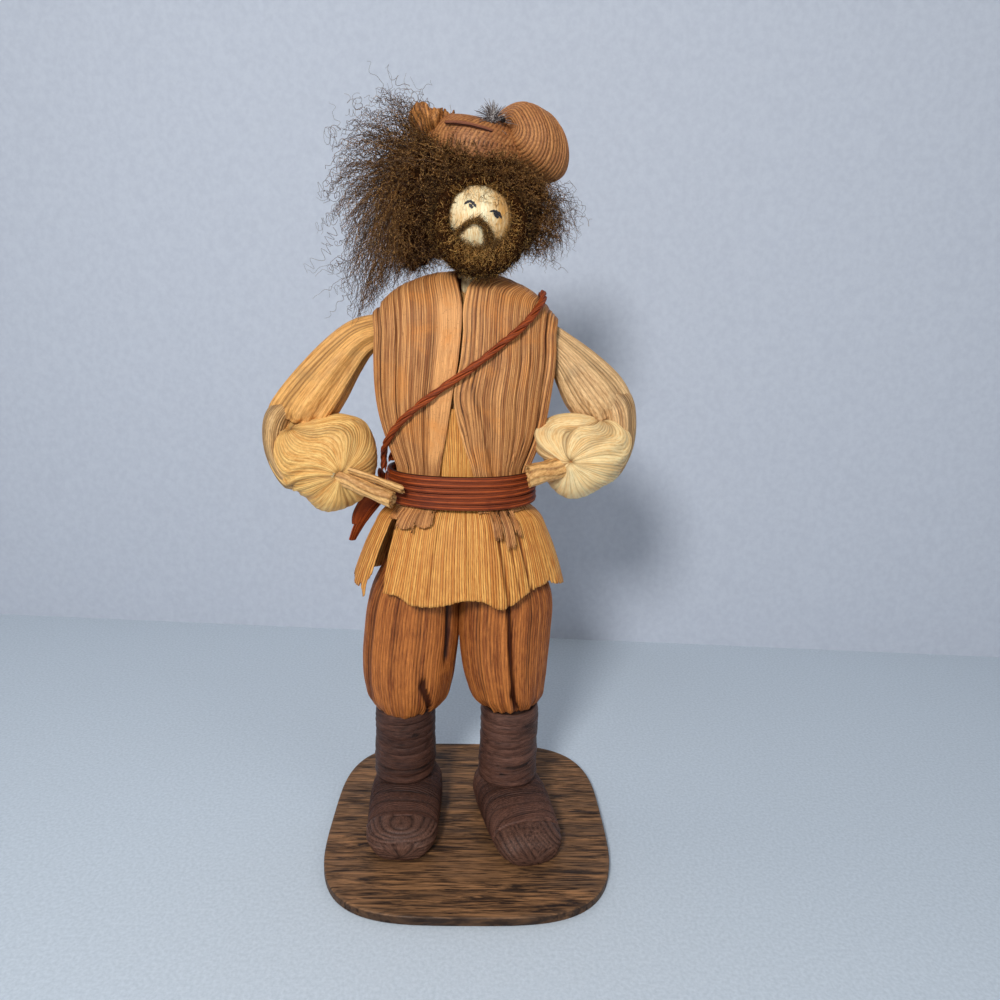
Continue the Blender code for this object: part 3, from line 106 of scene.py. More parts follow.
def ripple(spots, size, seed, count=7):
    # an uneven wave of about -1 to 1 through space
    chance = np.random.RandomState(seed)
    total = 0.0
    for _ in range(count):
        way = chance.normal(size=3)
        way = way / np.linalg.norm(way) * tau / (size * chance.uniform(0.6, 1.5))
        total = total + np.sin(spots @ way + chance.uniform(0, tau))
    return total / math.sqrt(count) * 0.9


def power(value, exponent):
    return np.sign(value) * np.abs(value) ** exponent


def oval(halfWide, halfDeep, angle, roundness=bodyRoundness):
    return (halfWide * power(np.cos(angle), 2 / roundness), halfDeep * power(np.sin(angle), 2 / roundness))


def evenAngles(halfWide, halfDeep, start, end):
    # angles that step evenly along an oval's edge, as a function of the share of the way
    angles = np.linspace(start, end, 721)
    x, y = oval(halfWide, halfDeep, angles)
    steps = np.hypot(np.diff(x), np.diff(y))
    length = np.concatenate([[0], np.cumsum(steps)])
    return lambda share: np.interp(share, length / length[-1], angles)


def window(t, start, end, soft):
    # 1 between start and end, fading to 0 over soft
    rise = np.clip((t - start) / soft + 1, 0, 1)
    fall = np.clip((end - t) / soft + 1, 0, 1)
    both = rise * fall
    return both * both * (3 - 2 * both)


def tapered(v, first, last=None):
    # 0 at both ends of v, and 1 from first after its start to last before its end
    return np.clip(v / first, 0, 1) * np.clip((1 - v) / (last or first), 0, 1)


def drawnIn(spots, share):
    # a grid's rows pulled towards their middles
    middles = spots.mean(1, keepdims=True)
    return middles + (spots - middles) * share[..., None]


def leanTurn(degrees):
    lean = math.radians(degrees)
    return np.array([[math.cos(lean), 0, math.sin(lean)], [0, 1, 0], [-math.sin(lean), 0, math.cos(lean)]])


def unit(vectors):
    return vectors / np.maximum(np.linalg.norm(vectors, axis=-1, keepdims=True), 1e-9)


def ribs(u, v, count, seed, wrapped=False, even=0.35):
    # corn husk's ribs run along v: their height, the groove beside each (painted as shade), and each rib's
    # own tone
    chance = np.random.RandomState(seed)
    phase = u * count + min(1.0, count / 60) * waves(u, seed + 1, 5, wrapped)
    phase = phase + 0.25 * np.sin(tau * (1.3 * v + chance.uniform()) + 9 * u * (0 if wrapped else 1))
    rib = np.floor(phase).astype(int)
    ridge = np.sin(np.pi * (phase - rib)) ** 0.8
    strength = chance.uniform(even, 1.0, count + 20)
    tones = chance.uniform(0, 1, count + 20)
    pick = rib % count if wrapped else np.clip(rib + 10, 0, count + 19)
    return ridge * strength[pick], (1 - ridge) * (0.45 + 0.55 * strength[pick]), tones[pick]


def creases(u, v, lines):
    # long folds, each (u at the bottom, u at the top, width in u, depth, from v, to v)
    depth = np.zeros_like(u)
    for low, high, width, deep, start, end in lines:
        middle = low + (high - low) * np.clip((v - start) / (end - start), 0, 1)
        depth = depth + deep * np.exp(-((u - middle) / width) ** 2) * window(v, start, end, 0.08)
    return depth


# Mesh helpers

def say(stage):
    print("doll:", stage)


def clearSelection():
    bpy.ops.object.select_all(action="DESELECT")


def choose(piece):
    clearSelection()
    piece.select_set(True)
    bpy.context.view_layer.objects.active = piece


def edit(piece, *steps):
    # runs edit-mode steps on the whole mesh
    choose(piece)
    bpy.ops.object.mode_set(mode="EDIT")
    bpy.ops.mesh.select_all(action="SELECT")
    for step in steps:
        step()
    bpy.ops.object.mode_set(mode="OBJECT")


def mergeDoubles():
    bpy.ops.mesh.remove_doubles(threshold=2e-6)


def facesOut():
    bpy.ops.mesh.normals_make_consistent(inside=False)


def applyModifier(piece, kind, **settings):
    choose(piece)
    step = piece.modifiers.new(kind.lower(), kind)
    for name, value in settings.items():
        setattr(step, name, value)
    bpy.ops.object.modifier_apply(modifier=step.name)


def outward(spots, wrapped):
    if wrapped:
        ring = spots[:, :-1]
        across = np.roll(ring, -1, 1) - np.roll(ring, 1, 1)
        across = np.concatenate([across, across[:, :1]], 1)
    else:
        across = np.gradient(spots, axis=1)
    return unit(np.cross(across, np.gradient(spots, axis=0)))


def setPointValues(piece, name, values):
    layer = piece.data.attributes.new(name, "FLOAT", "POINT")
    layer.data.foreach_set("value", np.ascontiguousarray(values, dtype=np.float32).ravel())


def husk(name, columns, rows, form, finish, wrapped=False, wall=0.0):
    # a grid whose u runs round or across and whose v runs along the husk. form(u, v) gives its places, how
    # far each stands out, its groove (painted shade) and tone. A wrapped one closes round u and at both ends
    # of v
    clearSelection()
    bpy.ops.mesh.primitive_grid_add(x_subdivisions=columns, y_subdivisions=rows, size=1, calc_uvs=True)
    piece = bpy.context.object
    piece.name = piece.data.name = name
    flat = np.empty((rows + 1) * (columns + 1) * 3, np.float32)
    piece.data.vertices.foreach_get("co", flat)
    flat = flat.reshape(rows + 1, columns + 1, 3).astype(float)
    spots, height, groove, tone = form(flat[..., 0] + 0.5, flat[..., 1] + 0.5)
    out = outward(spots, wrapped)
    if wrapped:
        middles = spots[:, :-1].mean(1, keepdims=True)
        turned = -1.0 if (out * (spots - middles)).sum() < 0 else 1.0
    else:
        turned = 1.0
    spots = spots + out * turned * np.asarray(height)[..., None]
    if wrapped:
        spots[:, -1] = spots[:, 0]
        spots[0] = spots[0].mean(0)
        spots[-1] = spots[-1].mean(0)
    spots = (spots + stand) * mm
    piece.data.vertices.foreach_set("co", spots.astype(np.float32).ravel())
    setPointValues(piece, "groove", np.broadcast_to(groove, flat.shape[:2]))
    setPointValues(piece, "tone", np.broadcast_to(tone, flat.shape[:2]))
    piece.data.update()
    if wrapped:
        edit(piece, mergeDoubles, facesOut)
    if wall:
        applyModifier(piece, "SOLIDIFY", thickness=wall * mm, offset=-1.0)
    choose(piece)
    bpy.ops.object.shade_smooth()
    piece.data.materials.append(finish)
    return piece


def strands(name, lines, radii, tones, finish):
    # three-sided hairs along lines of points, all in one mesh
    count, points, _ = lines.shape
    ahead = unit(np.gradient(lines, axis=1))
    guide = unit(np.random.RandomState(len(name)).normal(size=(count, 1, 3)))
    side = unit(np.cross(ahead, guide))
    up = np.cross(ahead, side)
    rings = np.stack([lines + (side * math.cos(tau * k / 3) + up * math.sin(tau * k / 3)) * radii[..., None]
                      for k in range(3)], 2)
    order = np.arange(count * points * 3).reshape(count, points, 3)
    faces = []
    for k in range(3):
        after = (k + 1) % 3
        faces.append(np.stack([order[:, :-1, k], order[:, :-1, after], order[:, 1:, after],
                               order[:, 1:, k]], -1).reshape(-1, 4))
    ends = np.concatenate([order[:, 0, ::-1], order[:, -1]]).tolist()
    mesh = bpy.data.meshes.new(name)
    mesh.from_pydata(((rings.reshape(-1, 3) + stand) * mm).tolist(), [],
                     np.concatenate(faces).tolist() + ends)
    piece = bpy.data.objects.new(name, mesh)
    bpy.context.collection.objects.link(piece)
    setPointValues(piece, "tone", np.repeat(tones, points * 3))
    setPointValues(piece, "groove", np.tile(np.repeat(np.linspace(0, 1, points), 3), count))
    mesh.shade_smooth()
    mesh.materials.append(finish)
    return piece


def settle(piece, body, slot, *nodes):
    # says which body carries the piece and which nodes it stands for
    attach(piece, body)
    if nodes:
        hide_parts(*nodes)
    return piece


# Materials

def paint(red, green, blue):
    # a colour as a paint chart gives it, 0 to 255
    return tuple(((c / 255 + 0.055) / 1.055) ** 2.4 if c > 10 else c / 255 / 12.92
                 for c in (red, green, blue)) + (1.0,)


class Nodes:
    # a small helper to lay out one material's nodes
    def __init__(self, name, roughness, specular):
        self.material = bpy.data.materials.new(name)
        self.material.use_nodes = True
        self.tree = self.material.node_tree
        self.shader = self.tree.nodes["Principled BSDF"]
        self.shader.inputs["Roughness"].default_value = roughness
        self.shader.inputs["Specular IOR Level"].default_value = specular
        self.places = self.tree.nodes.new("ShaderNodeTexCoord")

    def link(self, source, target):
        self.tree.links.new(source, target)

    def value(self, name):
        node = self.tree.nodes.new("ShaderNodeAttribute")
        node.attribute_name = name
        return node.outputs["Fac"]

    def spread(self, source, scale):
        node = self.tree.nodes.new("ShaderNodeMapping")
        node.inputs["Scale"].default_value = scale
        self.link(self.places.outputs[source], node.inputs["Vector"])
        return node.outputs["Vector"]

    def noise(self, vector, scale, detail, rough=0.6, warp=0.0):
        node = self.tree.nodes.new("ShaderNodeTexNoise")
        node.inputs["Scale"].default_value = scale
        node.inputs["Detail"].default_value = detail
        node.inputs["Roughness"].default_value = rough
        node.inputs["Distortion"].default_value = warp
        self.link(vector, node.inputs["Vector"])
        return node.outputs["Fac"]

    def levels(self, source, low, high, start=0.0, end=1.0):
        node = self.tree.nodes.new("ShaderNodeMapRange")
        for name, number in (("From Min", low), ("From Max", high), ("To Min", start), ("To Max", end)):
            node.inputs[name].default_value = number
        self.link(source, node.inputs["Value"])
        return node.outputs["Result"]

    def mix(self, share, first, second):
        node = self.tree.nodes.new("ShaderNodeMix")
        node.data_type = "RGBA"
        for name, item in (("Factor", share), ("A", first), ("B", second)):
            socket = next(s for s in node.inputs if s.name == name and s.enabled)
            if isinstance(item, tuple):
                socket.default_value = paint(*item)
            else:
                self.link(item, socket)
        return next(s for s in node.outputs if s.enabled)

    def combine(self, how, first, second):
        node = self.tree.nodes.new("ShaderNodeMath")
        node.operation = how
        for socket, item in zip(node.inputs, (first, second)):
            if isinstance(item, float):
                socket.default_value = item
            else:
                self.link(item, socket)
        return node.outputs["Value"]

    def bump(self, height, distance, strength):
        node = self.tree.nodes.new("ShaderNodeBump")
        node.inputs["Strength"].default_value = strength
        node.inputs["Distance"].default_value = distance
        self.link(height, node.inputs["Height"])
        self.link(node.outputs["Normal"], self.shader.inputs["Normal"])

    def finish(self, colour):
        self.link(colour, self.shader.inputs["Base Color"])
        return self.material


def huskFinish(name, light, dark, deep, stain, fibres, stainShare=0.5, roughness=0.52):
    # dyed or plain corn husk: a tone for each rib, fine fibres along it, stains, and painted shade in the
    # grooves
    nodes = Nodes(name, roughness, 0.25)
    place = nodes.places.outputs["Object"]
    fibre = nodes.noise(nodes.spread("UV", (fibres[0], fibres[1], 1)), 3.0, 5, 0.68, 0.3)
    streak = nodes.noise(nodes.spread("UV", (fibres[0] / 5, fibres[1] / 3, 1)), 3.0, 3, 0.6, 0.5)
    fleck = nodes.noise(place, 1500.0, 3, 0.6)
    cloud = nodes.noise(place, 95.0, 5, 0.6, 0.6)
    rib = nodes.combine("ADD", nodes.combine("MULTIPLY", nodes.value("tone"), 0.66), 0.05)
    rib = nodes.combine("ADD", rib, nodes.levels(fibre, 0.36, 0.64, -0.34, 0.44))
    rib = nodes.combine("ADD", rib, nodes.levels(streak, 0.35, 0.65, -0.13, 0.16))
    colour = nodes.mix(nodes.levels(rib, 0.0, 1.0), dark, light)
    if stain:
        spot = nodes.levels(cloud, 0.5, 0.68, 0.0, stainShare)
        colour = nodes.mix(spot, colour, stain)
    colour = nodes.mix(nodes.levels(fleck, 0.58, 0.72, 0.0, 0.45), colour, dark)
    # painted shade: the groove value darkens the husk towards the deep colour in grooves, folds and tucks
    groove = nodes.levels(nodes.value("groove"), 0.14, 0.85, 0.0, 0.95)
    colour = nodes.mix(groove, colour, deep)
    nodes.link(nodes.levels(fibre, 0.2, 0.8, roughness + 0.12, roughness - 0.12),
               nodes.shader.inputs["Roughness"])
    nodes.bump(nodes.combine("ADD", fibre, nodes.combine("MULTIPLY", fleck, 0.4)), 0.00018, 0.8)
    return nodes.finish(colour)


def woodFinish():
    nodes = Nodes("stained_wood", 0.55, 0.3)
    grain = nodes.noise(nodes.spread("Object", (20, 230, 80)), 3.0, 8, 0.7, 0.9)
    pores = nodes.noise(nodes.spread("Object", (110, 2200, 400)), 1.0, 3, 0.5, 0.1)
    bands = nodes.noise(nodes.spread("Object", (5, 60, 20)), 2.0, 3, 0.5, 0.6)
    edgeNoise = nodes.noise(nodes.places.outputs["Object"], 60.0, 6, 0.7)
    colour = nodes.mix(nodes.levels(grain, 0.40, 0.61), (32, 17, 9), (176, 126, 82))
    colour = nodes.mix(nodes.levels(bands, 0.35, 0.7, 0.0, 0.55), colour, (86, 66, 50))
    colour = nodes.mix(nodes.levels(pores, 0.54, 0.64, 0.0, 0.85), colour, (30, 17, 9))
    # the top edge is painted lighter, broken up by noise
    edge = nodes.combine("MULTIPLY", nodes.value("edge"), nodes.levels(edgeNoise, 0.3, 0.7, 0.0, 0.5))
    colour = nodes.mix(edge, colour, (112, 82, 58))
    colour = nodes.mix(nodes.levels(nodes.value("rim"), 0.0, 1.0, 0.0, 0.62), colour, (28, 15, 10))
    nodes.link(nodes.levels(pores, 0.4, 0.7, 0.45, 0.75), nodes.shader.inputs["Roughness"])
    nodes.bump(nodes.combine("SUBTRACT", nodes.combine("MULTIPLY", grain, 0.5), pores), 0.0001, 0.5)
    return nodes.finish(colour)


def hairFinish(name, dark, light, glint):
    nodes = Nodes(name, 0.45, 0.22)
    tone = nodes.value("tone")
    colour = nodes.mix(nodes.levels(tone, 0.0, 0.85), dark, light)
    # painted highlight: the brightest tones take the glint colour
    colour = nodes.mix(nodes.levels(tone, 0.86, 1.0, 0.0, 0.9), colour, glint)
    fine = nodes.noise(nodes.places.outputs["Object"], 1100.0, 2)
    colour = nodes.mix(nodes.levels(fine, 0.42, 0.62, 0.0, 0.7), colour, dark)
    # painted highlight: fine specks of the glint colour
    glintSpeck = nodes.noise(nodes.places.outputs["Object"], 2600.0, 1)
    colour = nodes.mix(nodes.levels(glintSpeck, 0.57, 0.65, 0.0, 0.85), colour, glint)
    return nodes.finish(colour)


def grainFinish(name, first, second, scale, roughness, metallic=0.0, stretch=(1, 1, 1), height=0.00005,
                specular=0.35):
    # for thread, wire, paint and what hides inside
    nodes = Nodes(name, roughness, specular)
    nodes.shader.inputs["Metallic"].default_value = metallic
    noise = nodes.noise(nodes.spread("Object", stretch), scale, 5, 0.6, 0.2)
    nodes.link(nodes.levels(noise, 0.3, 0.7, roughness - 0.1, roughness + 0.15),
               nodes.shader.inputs["Roughness"])
    nodes.bump(noise, height, 0.6)
    return nodes.finish(nodes.mix(nodes.levels(noise, 0.35, 0.65), first, second))


# each row's groove colour is the painted shade in the husk's grooves
huskPaints = {  # name, light, dark, grooves, stains, fibres across and along, how far stains show, roughness
    "rightBoot": ("dark_husk", (102, 67, 53), (46, 25, 19), (9, 4, 3), (66, 44, 38), (26, 60)),
    "leftBoot": ("left_dark_husk", (118, 80, 65), (54, 32, 25), (12, 5, 4), (76, 53, 47), (26, 60)),
    "toe": ("toe_husk", (122, 86, 70), (64, 40, 31), (18, 8, 6), (88, 62, 52), (60, 8)),
    "trousers": ("rust_husk", (204, 124, 60), (126, 64, 26), (54, 19, 6), (204, 124, 58), (88, 5)),
    "tunic": ("golden_husk", (250, 188, 102), (196, 120, 50), (104, 50, 15), (196, 124, 62), (90, 5)),
    "seam": ("seam_husk", (172, 108, 76), (118, 62, 42), (46, 19, 9), None, (20, 30)),
    "vest": ("tan_husk", (238, 172, 106), (142, 84, 44), (58, 24, 8), (224, 142, 66), (60, 6)),
    "sash": ("red_brown_husk", (206, 98, 40), (128, 48, 15), (44, 10, 2), (112, 38, 10), (20, 60)),
    "rightSleeve": ("pale_husk", (248, 188, 110), (182, 118, 54), (88, 48, 18), (176, 138, 90), (60, 5),
                    0.4),
    "cuff": ("weathered_husk", (232, 188, 128), (166, 126, 80), (84, 54, 28), (150, 126, 94), (30, 5)),
    "leftSleeve": ("left_pale_husk", (246, 204, 148), (176, 130, 82), (88, 56, 28), (160, 136, 104),
                   (60, 5)),
    "leftPuff": ("pale_puff_husk", (255, 231, 174), (234, 184, 118), (116, 78, 40), (196, 176, 140),
                 (60, 5), 0.4),
    "rightPuff": ("golden_puff_husk", (255, 212, 132), (208, 144, 72), (98, 56, 22), (206, 160, 104),
                  (60, 5), 0.4),
    "straw": ("straw_husk", (244, 194, 126), (184, 130, 72), (90, 52, 22), None, (24, 4)),
    "face": ("cream_husk", (255, 246, 204), (222, 166, 92), (124, 74, 26), (216, 156, 80), (90, 6), 0.5,
             0.5),
    "hat": ("hat_husk", (208, 144, 86), (134, 80, 42), (46, 19, 7), (164, 104, 68), (30, 30)),
    "flap": ("flap_husk", (214, 144, 76), (92, 46, 16), (38, 16, 5), (98, 46, 18), (40, 6)),
}
# the glint colour of each row is a painted highlight
hairPaints = {  # name, dark, light, glints
    "hair": ("brown_hair", (48, 25, 8), (146, 96, 46), (226, 172, 104)),
    "beard": ("beard_hair", (34, 15, 4), (168, 112, 48), (240, 188, 108)),
    "wisp": ("wispy_hair", (40, 22, 10), (110, 76, 46), (160, 126, 92)),
    "feather": ("grey_feather", (74, 62, 62), (150, 140, 136), (200, 194, 190)),
}
grainPaints = {  # name, two colours, scale, roughness, metallic, stretch, height, gloss
    "hairCore": ("hair_core", (22, 11, 4), (54, 31, 14), 1500.0, 0.85, 0.0, (1, 1, 1), 0.0004, 0.02),
    "eye": ("eye_paint", (26, 25, 30), (56, 52, 56), 2500.0, 0.5),
    "wire": ("iron_wire", (120, 118, 116), (84, 80, 78), 1200.0, 0.4, 1.0),
    "pin": ("dark_pin", (28, 24, 24), (58, 50, 46), 1500.0, 0.35, 0.6),
    "thread": ("waxed_thread", (206, 184, 142), (160, 134, 94), 2200.0, 0.7, 0.0, (1, 1, 2.5)),
    "core": ("rolled_husk", (222, 178, 116), (166, 118, 64), 240.0, 0.7, 0.0, (3, 3, 0.4)),
    "bootCore": ("rolled_dark_husk", (66, 44, 36), (40, 24, 19), 300.0, 0.7, 0.0, (3, 3, 0.5)),
}


def makeFinishes():
    say("materials")
    made = {"wood": woodFinish()}
    for make, paints in ((huskFinish, huskPaints), (hairFinish, hairPaints), (grainFinish, grainPaints)):
        made.update({key: make(*row) for key, row in paints.items()})
    return made


# The base

plate = {"width": 96.0, "thickness": 3.2, "roundness": 3.54, "points": 160, "edge": 0.55, "rimBand": 1.6}


def makeBase(finishes):
    say("base")
    low, high = (np.array(corner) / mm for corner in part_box("base_plate"))
    middle = (low + high) / 2
    clearSelection()
    bpy.ops.mesh.primitive_circle_add(vertices=plate["points"], radius=1, fill_type="NGON",
                                      location=(0, 0, 0))
    piece = bpy.context.object
    piece.name = piece.data.name = "base_board"
    angles = tau * (np.arange(plate["points"]) + 0.5) / plate["points"]
    x, y = oval(plate["width"] / 2, plate["width"] / 2, angles, plate["roundness"])
    for vertex, a, b in zip(piece.data.vertices, x, y):
        vertex.co = ((middle[0] + a) * mm, (middle[1] + b) * mm, low[2] * mm)

    def lift():
        bpy.ops.mesh.extrude_region_move(TRANSFORM_OT_translate={"value": (0, 0, plate["thickness"] * mm)})
        bpy.ops.mesh.inset(thickness=plate["rimBand"] * mm)

    edit(piece, lift)
    edit(piece, facesOut)
    applyModifier(piece, "BEVEL", width=plate["edge"] * mm, segments=3, limit_method="ANGLE",
                  angle_limit=math.radians(50))
    spots = np.array([vertex.co for vertex in piece.data.vertices]) / mm
    reach = ((np.abs(spots[:, 0] - middle[0]) / (plate["width"] / 2)) ** plate["roundness"]
             + (np.abs(spots[:, 1] - middle[1]) / (plate["width"] / 2)) ** plate["roundness"])
    inner = reach < (1 - plate["rimBand"] * 1.6 / plate["width"]) ** plate["roundness"]
    setPointValues(piece, "edge", np.where(inner | (spots[:, 2] < plate["thickness"] - 1.0), 0.0, 1.0))
    setPointValues(piece, "rim", np.where(spots[:, 2] < plate["thickness"] - 0.35, 1.0, 0.0))
    choose(piece)
    bpy.ops.object.shade_smooth_by_angle(angle=math.radians(40))
    piece.data.materials.append(finishes["wood"])
    settle(piece, "torso", "stained_wood", "base_plate")


# Boots: a strip wound round each shaft, a wound foot and a toe patch

boots = {
    "right": {"x": -18.4, "y": 4.0, "hem": 45.0, "radius": 9.75, "turn": 0.0, "shift": 1.0, "slant": 0.9,
              "toeStart": 0.76, "shaftSeed": 11, "footSeed": 31},
    "left": {"x": 18.4, "y": 1.5, "hem": 46.8, "radius": 9.35, "turn": 14.0, "shift": 0.6, "slant": 1.6,
             "toeStart": 0.80, "shaftSeed": 23, "footSeed": 47},
    "shaftBottom": 16.4, "turns": 9, "stripHalfHeight": 2.3, "stripHalfWall": 0.8, "footBack": 12.5,
    "footFront": 31.6, "footTop": 17.4, "footWidth": 24.6, "sole": 3.4, "windingEnd": 0.80,
}
footShares = [  # along, width, height
    (0.00, 0.40, 0.40), (0.03, 0.70, 0.84), (0.10, 0.88, 1.00), (0.25, 0.98, 1.04), (0.48, 1.00, 0.98),
    (0.60, 0.98, 0.86), (0.72, 0.95, 0.76), (0.83, 0.90, 0.70), (0.93, 0.76, 0.58), (0.98, 0.54, 0.40),
    (1.00, 0.30, 0.22),
]


def makeShaft(side, finishes):
    leg = boots[side]
    turns, tall, seed = boots["turns"], boots["stripHalfHeight"], leg["shaftSeed"]
    pitch = (leg["hem"] + 0.8 - boots["shaftBottom"] - 2 * tall) / turns

    def form(u, v):
        angle = tau * turns * v + 1.0
        lean = 0.55 * np.sin(angle + 1.7 * waves(v, seed, 3)) + 0.35 * waves(v, seed + 1, 9)
        lift = boots["shaftBottom"] + tall + pitch * turns * v + lean
        swell = 0.35 * waves(v, seed + 2, 14) + 0.5 * window(lift, 20, 27, 6) - 0.25
        a, b = oval(boots["stripHalfWall"], tall, tau * u, 2.6)
        ends = window(v, 0.004, 0.996, 0.004)
        a, b = a * ends, b * ends
        out = leg["radius"] + swell * 0.45 + a - 0.18 * b / tall
        rows = b / 0.88 + 0.7 * waves(v, seed + 3, 16) + 0.3 * waves(v, seed + 6, 40)
        ridge = np.where(np.cos(tau * u) > 0, 2 * np.abs(np.sin(np.pi * rows)) ** 0.6 - 1, 0)
        bold = 0.6 + 0.5 * waves(np.floor(rows) / 7 + 2 * v, seed + 7, 5)
        out = out + 0.22 * ridge * bold
        spots = np.stack([leg["x"] + out * np.cos(angle), leg["y"] + out * np.sin(angle), lift + b], -1)
        # painted shade along the strip's upper and lower edges, where the turns overlap, and in the grooves
        groove = 0.50 * (1 - ridge) * bold + 0.5 * np.clip(np.abs(b) / tall * 1.6 - 0.9, 0, 1)
        tone = 0.5 + 0.3 * waves(v, seed + 4, 25) + 0.2 * waves(b / tall + 4 * v, seed + 5, 3)
        return spots, np.zeros_like(u), groove, tone

    piece = husk(side + "_boot_winding", 26, turns * 60, form, finishes[side + "Boot"], wrapped=True)
    settle(piece, "torso", "dark_husk", side + "_boot_shaft_wrap")


def footFrame(side):
    leg = boots[side]
    turn = math.radians(leg["turn"])
    ahead = np.array([math.sin(turn), -math.cos(turn), 0.0])
    across = np.array([math.cos(turn), math.sin(turn), 0.0])
    return ahead, across, np.array([leg["x"] + leg["shift"], leg["y"], 0.0])


def footSpots(side, share, angle, grow=0.0):
    ahead, across, middle = footFrame(side)
    length = boots["footBack"] + boots["footFront"]
    halfWide = boots["footWidth"] / 2 * read(footShares, 1, share) + grow
    halfTall = (boots["footTop"] - boots["sole"]) / 2 * read(footShares, 2, share) + grow
    wide, tall = oval(halfWide, halfTall, angle, 2.35)
    return (middle + ahead * (share * length - boots["footBack"])[..., None] + across * wide[..., None]
            + np.array([0, 0, 1.0]) * (boots["sole"] + halfTall + tall)[..., None])


def makeFoot(side, finishes):
    seed, slant = boots[side]["footSeed"], boots[side]["slant"]

    def form(u, v):
        angle = -tau * u
        closing = tapered(v, 0.02, 0.03) ** 0.5
        spots = drawnIn(footSpots(side, v * boots["windingEnd"], angle), closing)
        lines = (v * 52 + 2 * slant * np.sin(angle + 0.6) + 1.3 * np.sin(2 * angle + 5 * v)
                 + waves(v, seed, 6))
        ridge = np.abs(np.sin(np.pi * lines)) ** 0.6
        layer = lines / 6.2 + 0.2 * np.sin(3 * angle)
        ledge = layer - np.floor(layer)
        top = np.clip(np.sin(angle) + 0.55, 0, 1)
        height = 0.28 * ridge + 0.22 * np.sin(np.pi * ledge) ** 0.7 + 0.35 * waves(u, seed + 3, 4, True)
        height = height * top * closing
        height = np.where(np.sin(angle) < -0.75, np.minimum(height, 0), height)
        tone = 0.5 + 0.35 * np.sin(7.3 * np.floor(layer)) + 0.2 * waves(lines / 9, seed + 2, 6)
        # painted shade under each layer's ledge and in the grooves
        groove = 0.7 * (1 - ridge) + 0.35 * np.exp(-(np.minimum(ledge, 1 - ledge) / 0.10) ** 2)
        return spots, height, groove, tone

    piece = husk(side + "_boot_wound_foot", 84, 200, form, finishes[side + "Boot"], wrapped=True)
    settle(piece, "torso", "dark_husk", side + "_boot_foot")
    start = boots[side]["toeStart"]
    _, across, middle = footFrame(side)

    def patch(u, v):
        angle = -tau * u
        closing = tapered(v, 0.05, 0.10) ** 0.5
        spots = drawnIn(footSpots(side, start + (1 - start) * v, angle, 0.15), closing)
        aside, z = (spots - middle) @ across, spots[..., 2]
        if side == "right":
            rings = np.hypot(aside / 4.6, z - 13.2) / 0.8
            layers = (z - boots["sole"]) / 0.95 + 0.3 * np.sin(2.2 * np.cos(angle))
            lines = np.where(z > 10.4, rings, layers)
            ridge = np.abs(np.sin(np.pi * lines)) ** 0.7
            bold = sum(np.exp(-((z - level - 0.4 * np.cos(angle)) / 0.30) ** 2) for level in (8.2, 10.0))
        else:
            lines = (0.85 * aside + 0.7 * z) / 1.5 + 0.5 * np.sin(0.3 * aside + 0.5 * z)
            ridge = np.abs(np.sin(np.pi * lines)) ** 0.6
            bold = np.zeros_like(u)
        height = 0.32 * ridge * closing + 0.35 * bold * closing
        tone = 0.42 + 0.45 * bold + 0.25 * waves(lines / 8, seed + 5, 6)
        return spots, height, 0.85 * (1 - ridge) * (1 - 0.8 * np.clip(bold, 0, 1)), tone

    piece = husk(side + "_boot_toe", 100, 44, patch, finishes["toe"], wrapped=True)
    settle(piece, "torso", "toe_husk", side + "_toe_cap")


# Trousers, gathered over the boots

trousers = {
    "right": {"hemLift": 0.0, "hemSag": 1.5, "seed": 61}, "left": {"hemLift": 0.9, "hemSag": 0.2, "seed": 73},
    "top": 111.5, "ribs": 92, "ribHeight": 0.26, "tuck": 0.07, "tuckRadius": 9.3, "tuckRise": 4.0,
    "lid": 0.985,
}
trouserEdges = {  # rise, the outer and inner edges' distance from the middle line, half depth
    "right": [(0.00, 28.2, 7.0, 10.4), (0.04, 30.4, 4.4, 12.4), (0.13, 32.2, 2.3, 13.8),
              (0.28, 32.8, 1.0, 14.4), (0.40, 32.3, 0.2, 14.3), (0.68, 28.8, 0.2, 13.6),
              (0.84, 23.0, 0.2, 12.0), (1.00, 17.5, 0.2, 10.6)],
    "left": [(0.00, 27.2, 8.6, 10.4), (0.04, 28.9, 5.8, 12.4), (0.13, 29.9, 3.2, 13.8),
             (0.28, 30.6, 1.0, 14.4), (0.40, 31.0, 0.2, 14.3), (0.68, 29.6, 0.2, 13.6),
             (0.84, 23.2, 0.2, 12.0), (1.00, 17.5, 0.2, 10.6)],
}
trouserFolds = {  # u at the hem, u higher up, width, depth, from, to
    "right": [(0.862, 0.806, 0.012, 1.8, 0.0, 0.17), (0.70, 0.712, 0.012, 0.3, 0.25, 1.0),
              (0.79, 0.775, 0.012, 0.3, 0.05, 0.9), (0.60, 0.62, 0.012, 0.6, 0.1, 1.0),
              (0.897, 0.888, 0.013, 2.0, 0.34, 1.0), (0.12, 0.10, 0.02, 1.1, 0.1, 1.0),
              (0.34, 0.33, 0.02, 1.0, 0.0, 1.0)],
    "left": [(0.775, 0.742, 0.006, 1.5, 0.06, 0.9), (0.80, 0.765, 0.008, 1.0, 0.0, 0.10),
             (0.66, 0.645, 0.010, 0.4, 0.1, 0.9), (0.70, 0.672, 0.009, 0.3, 0.3, 1.0),
             (0.83, 0.835, 0.010, 0.4, 0.2, 1.0), (0.15, 0.13, 0.02, 1.0, 0.0, 1.0),
             (0.38, 0.41, 0.02, 1.1, 0.1, 1.0)],
}


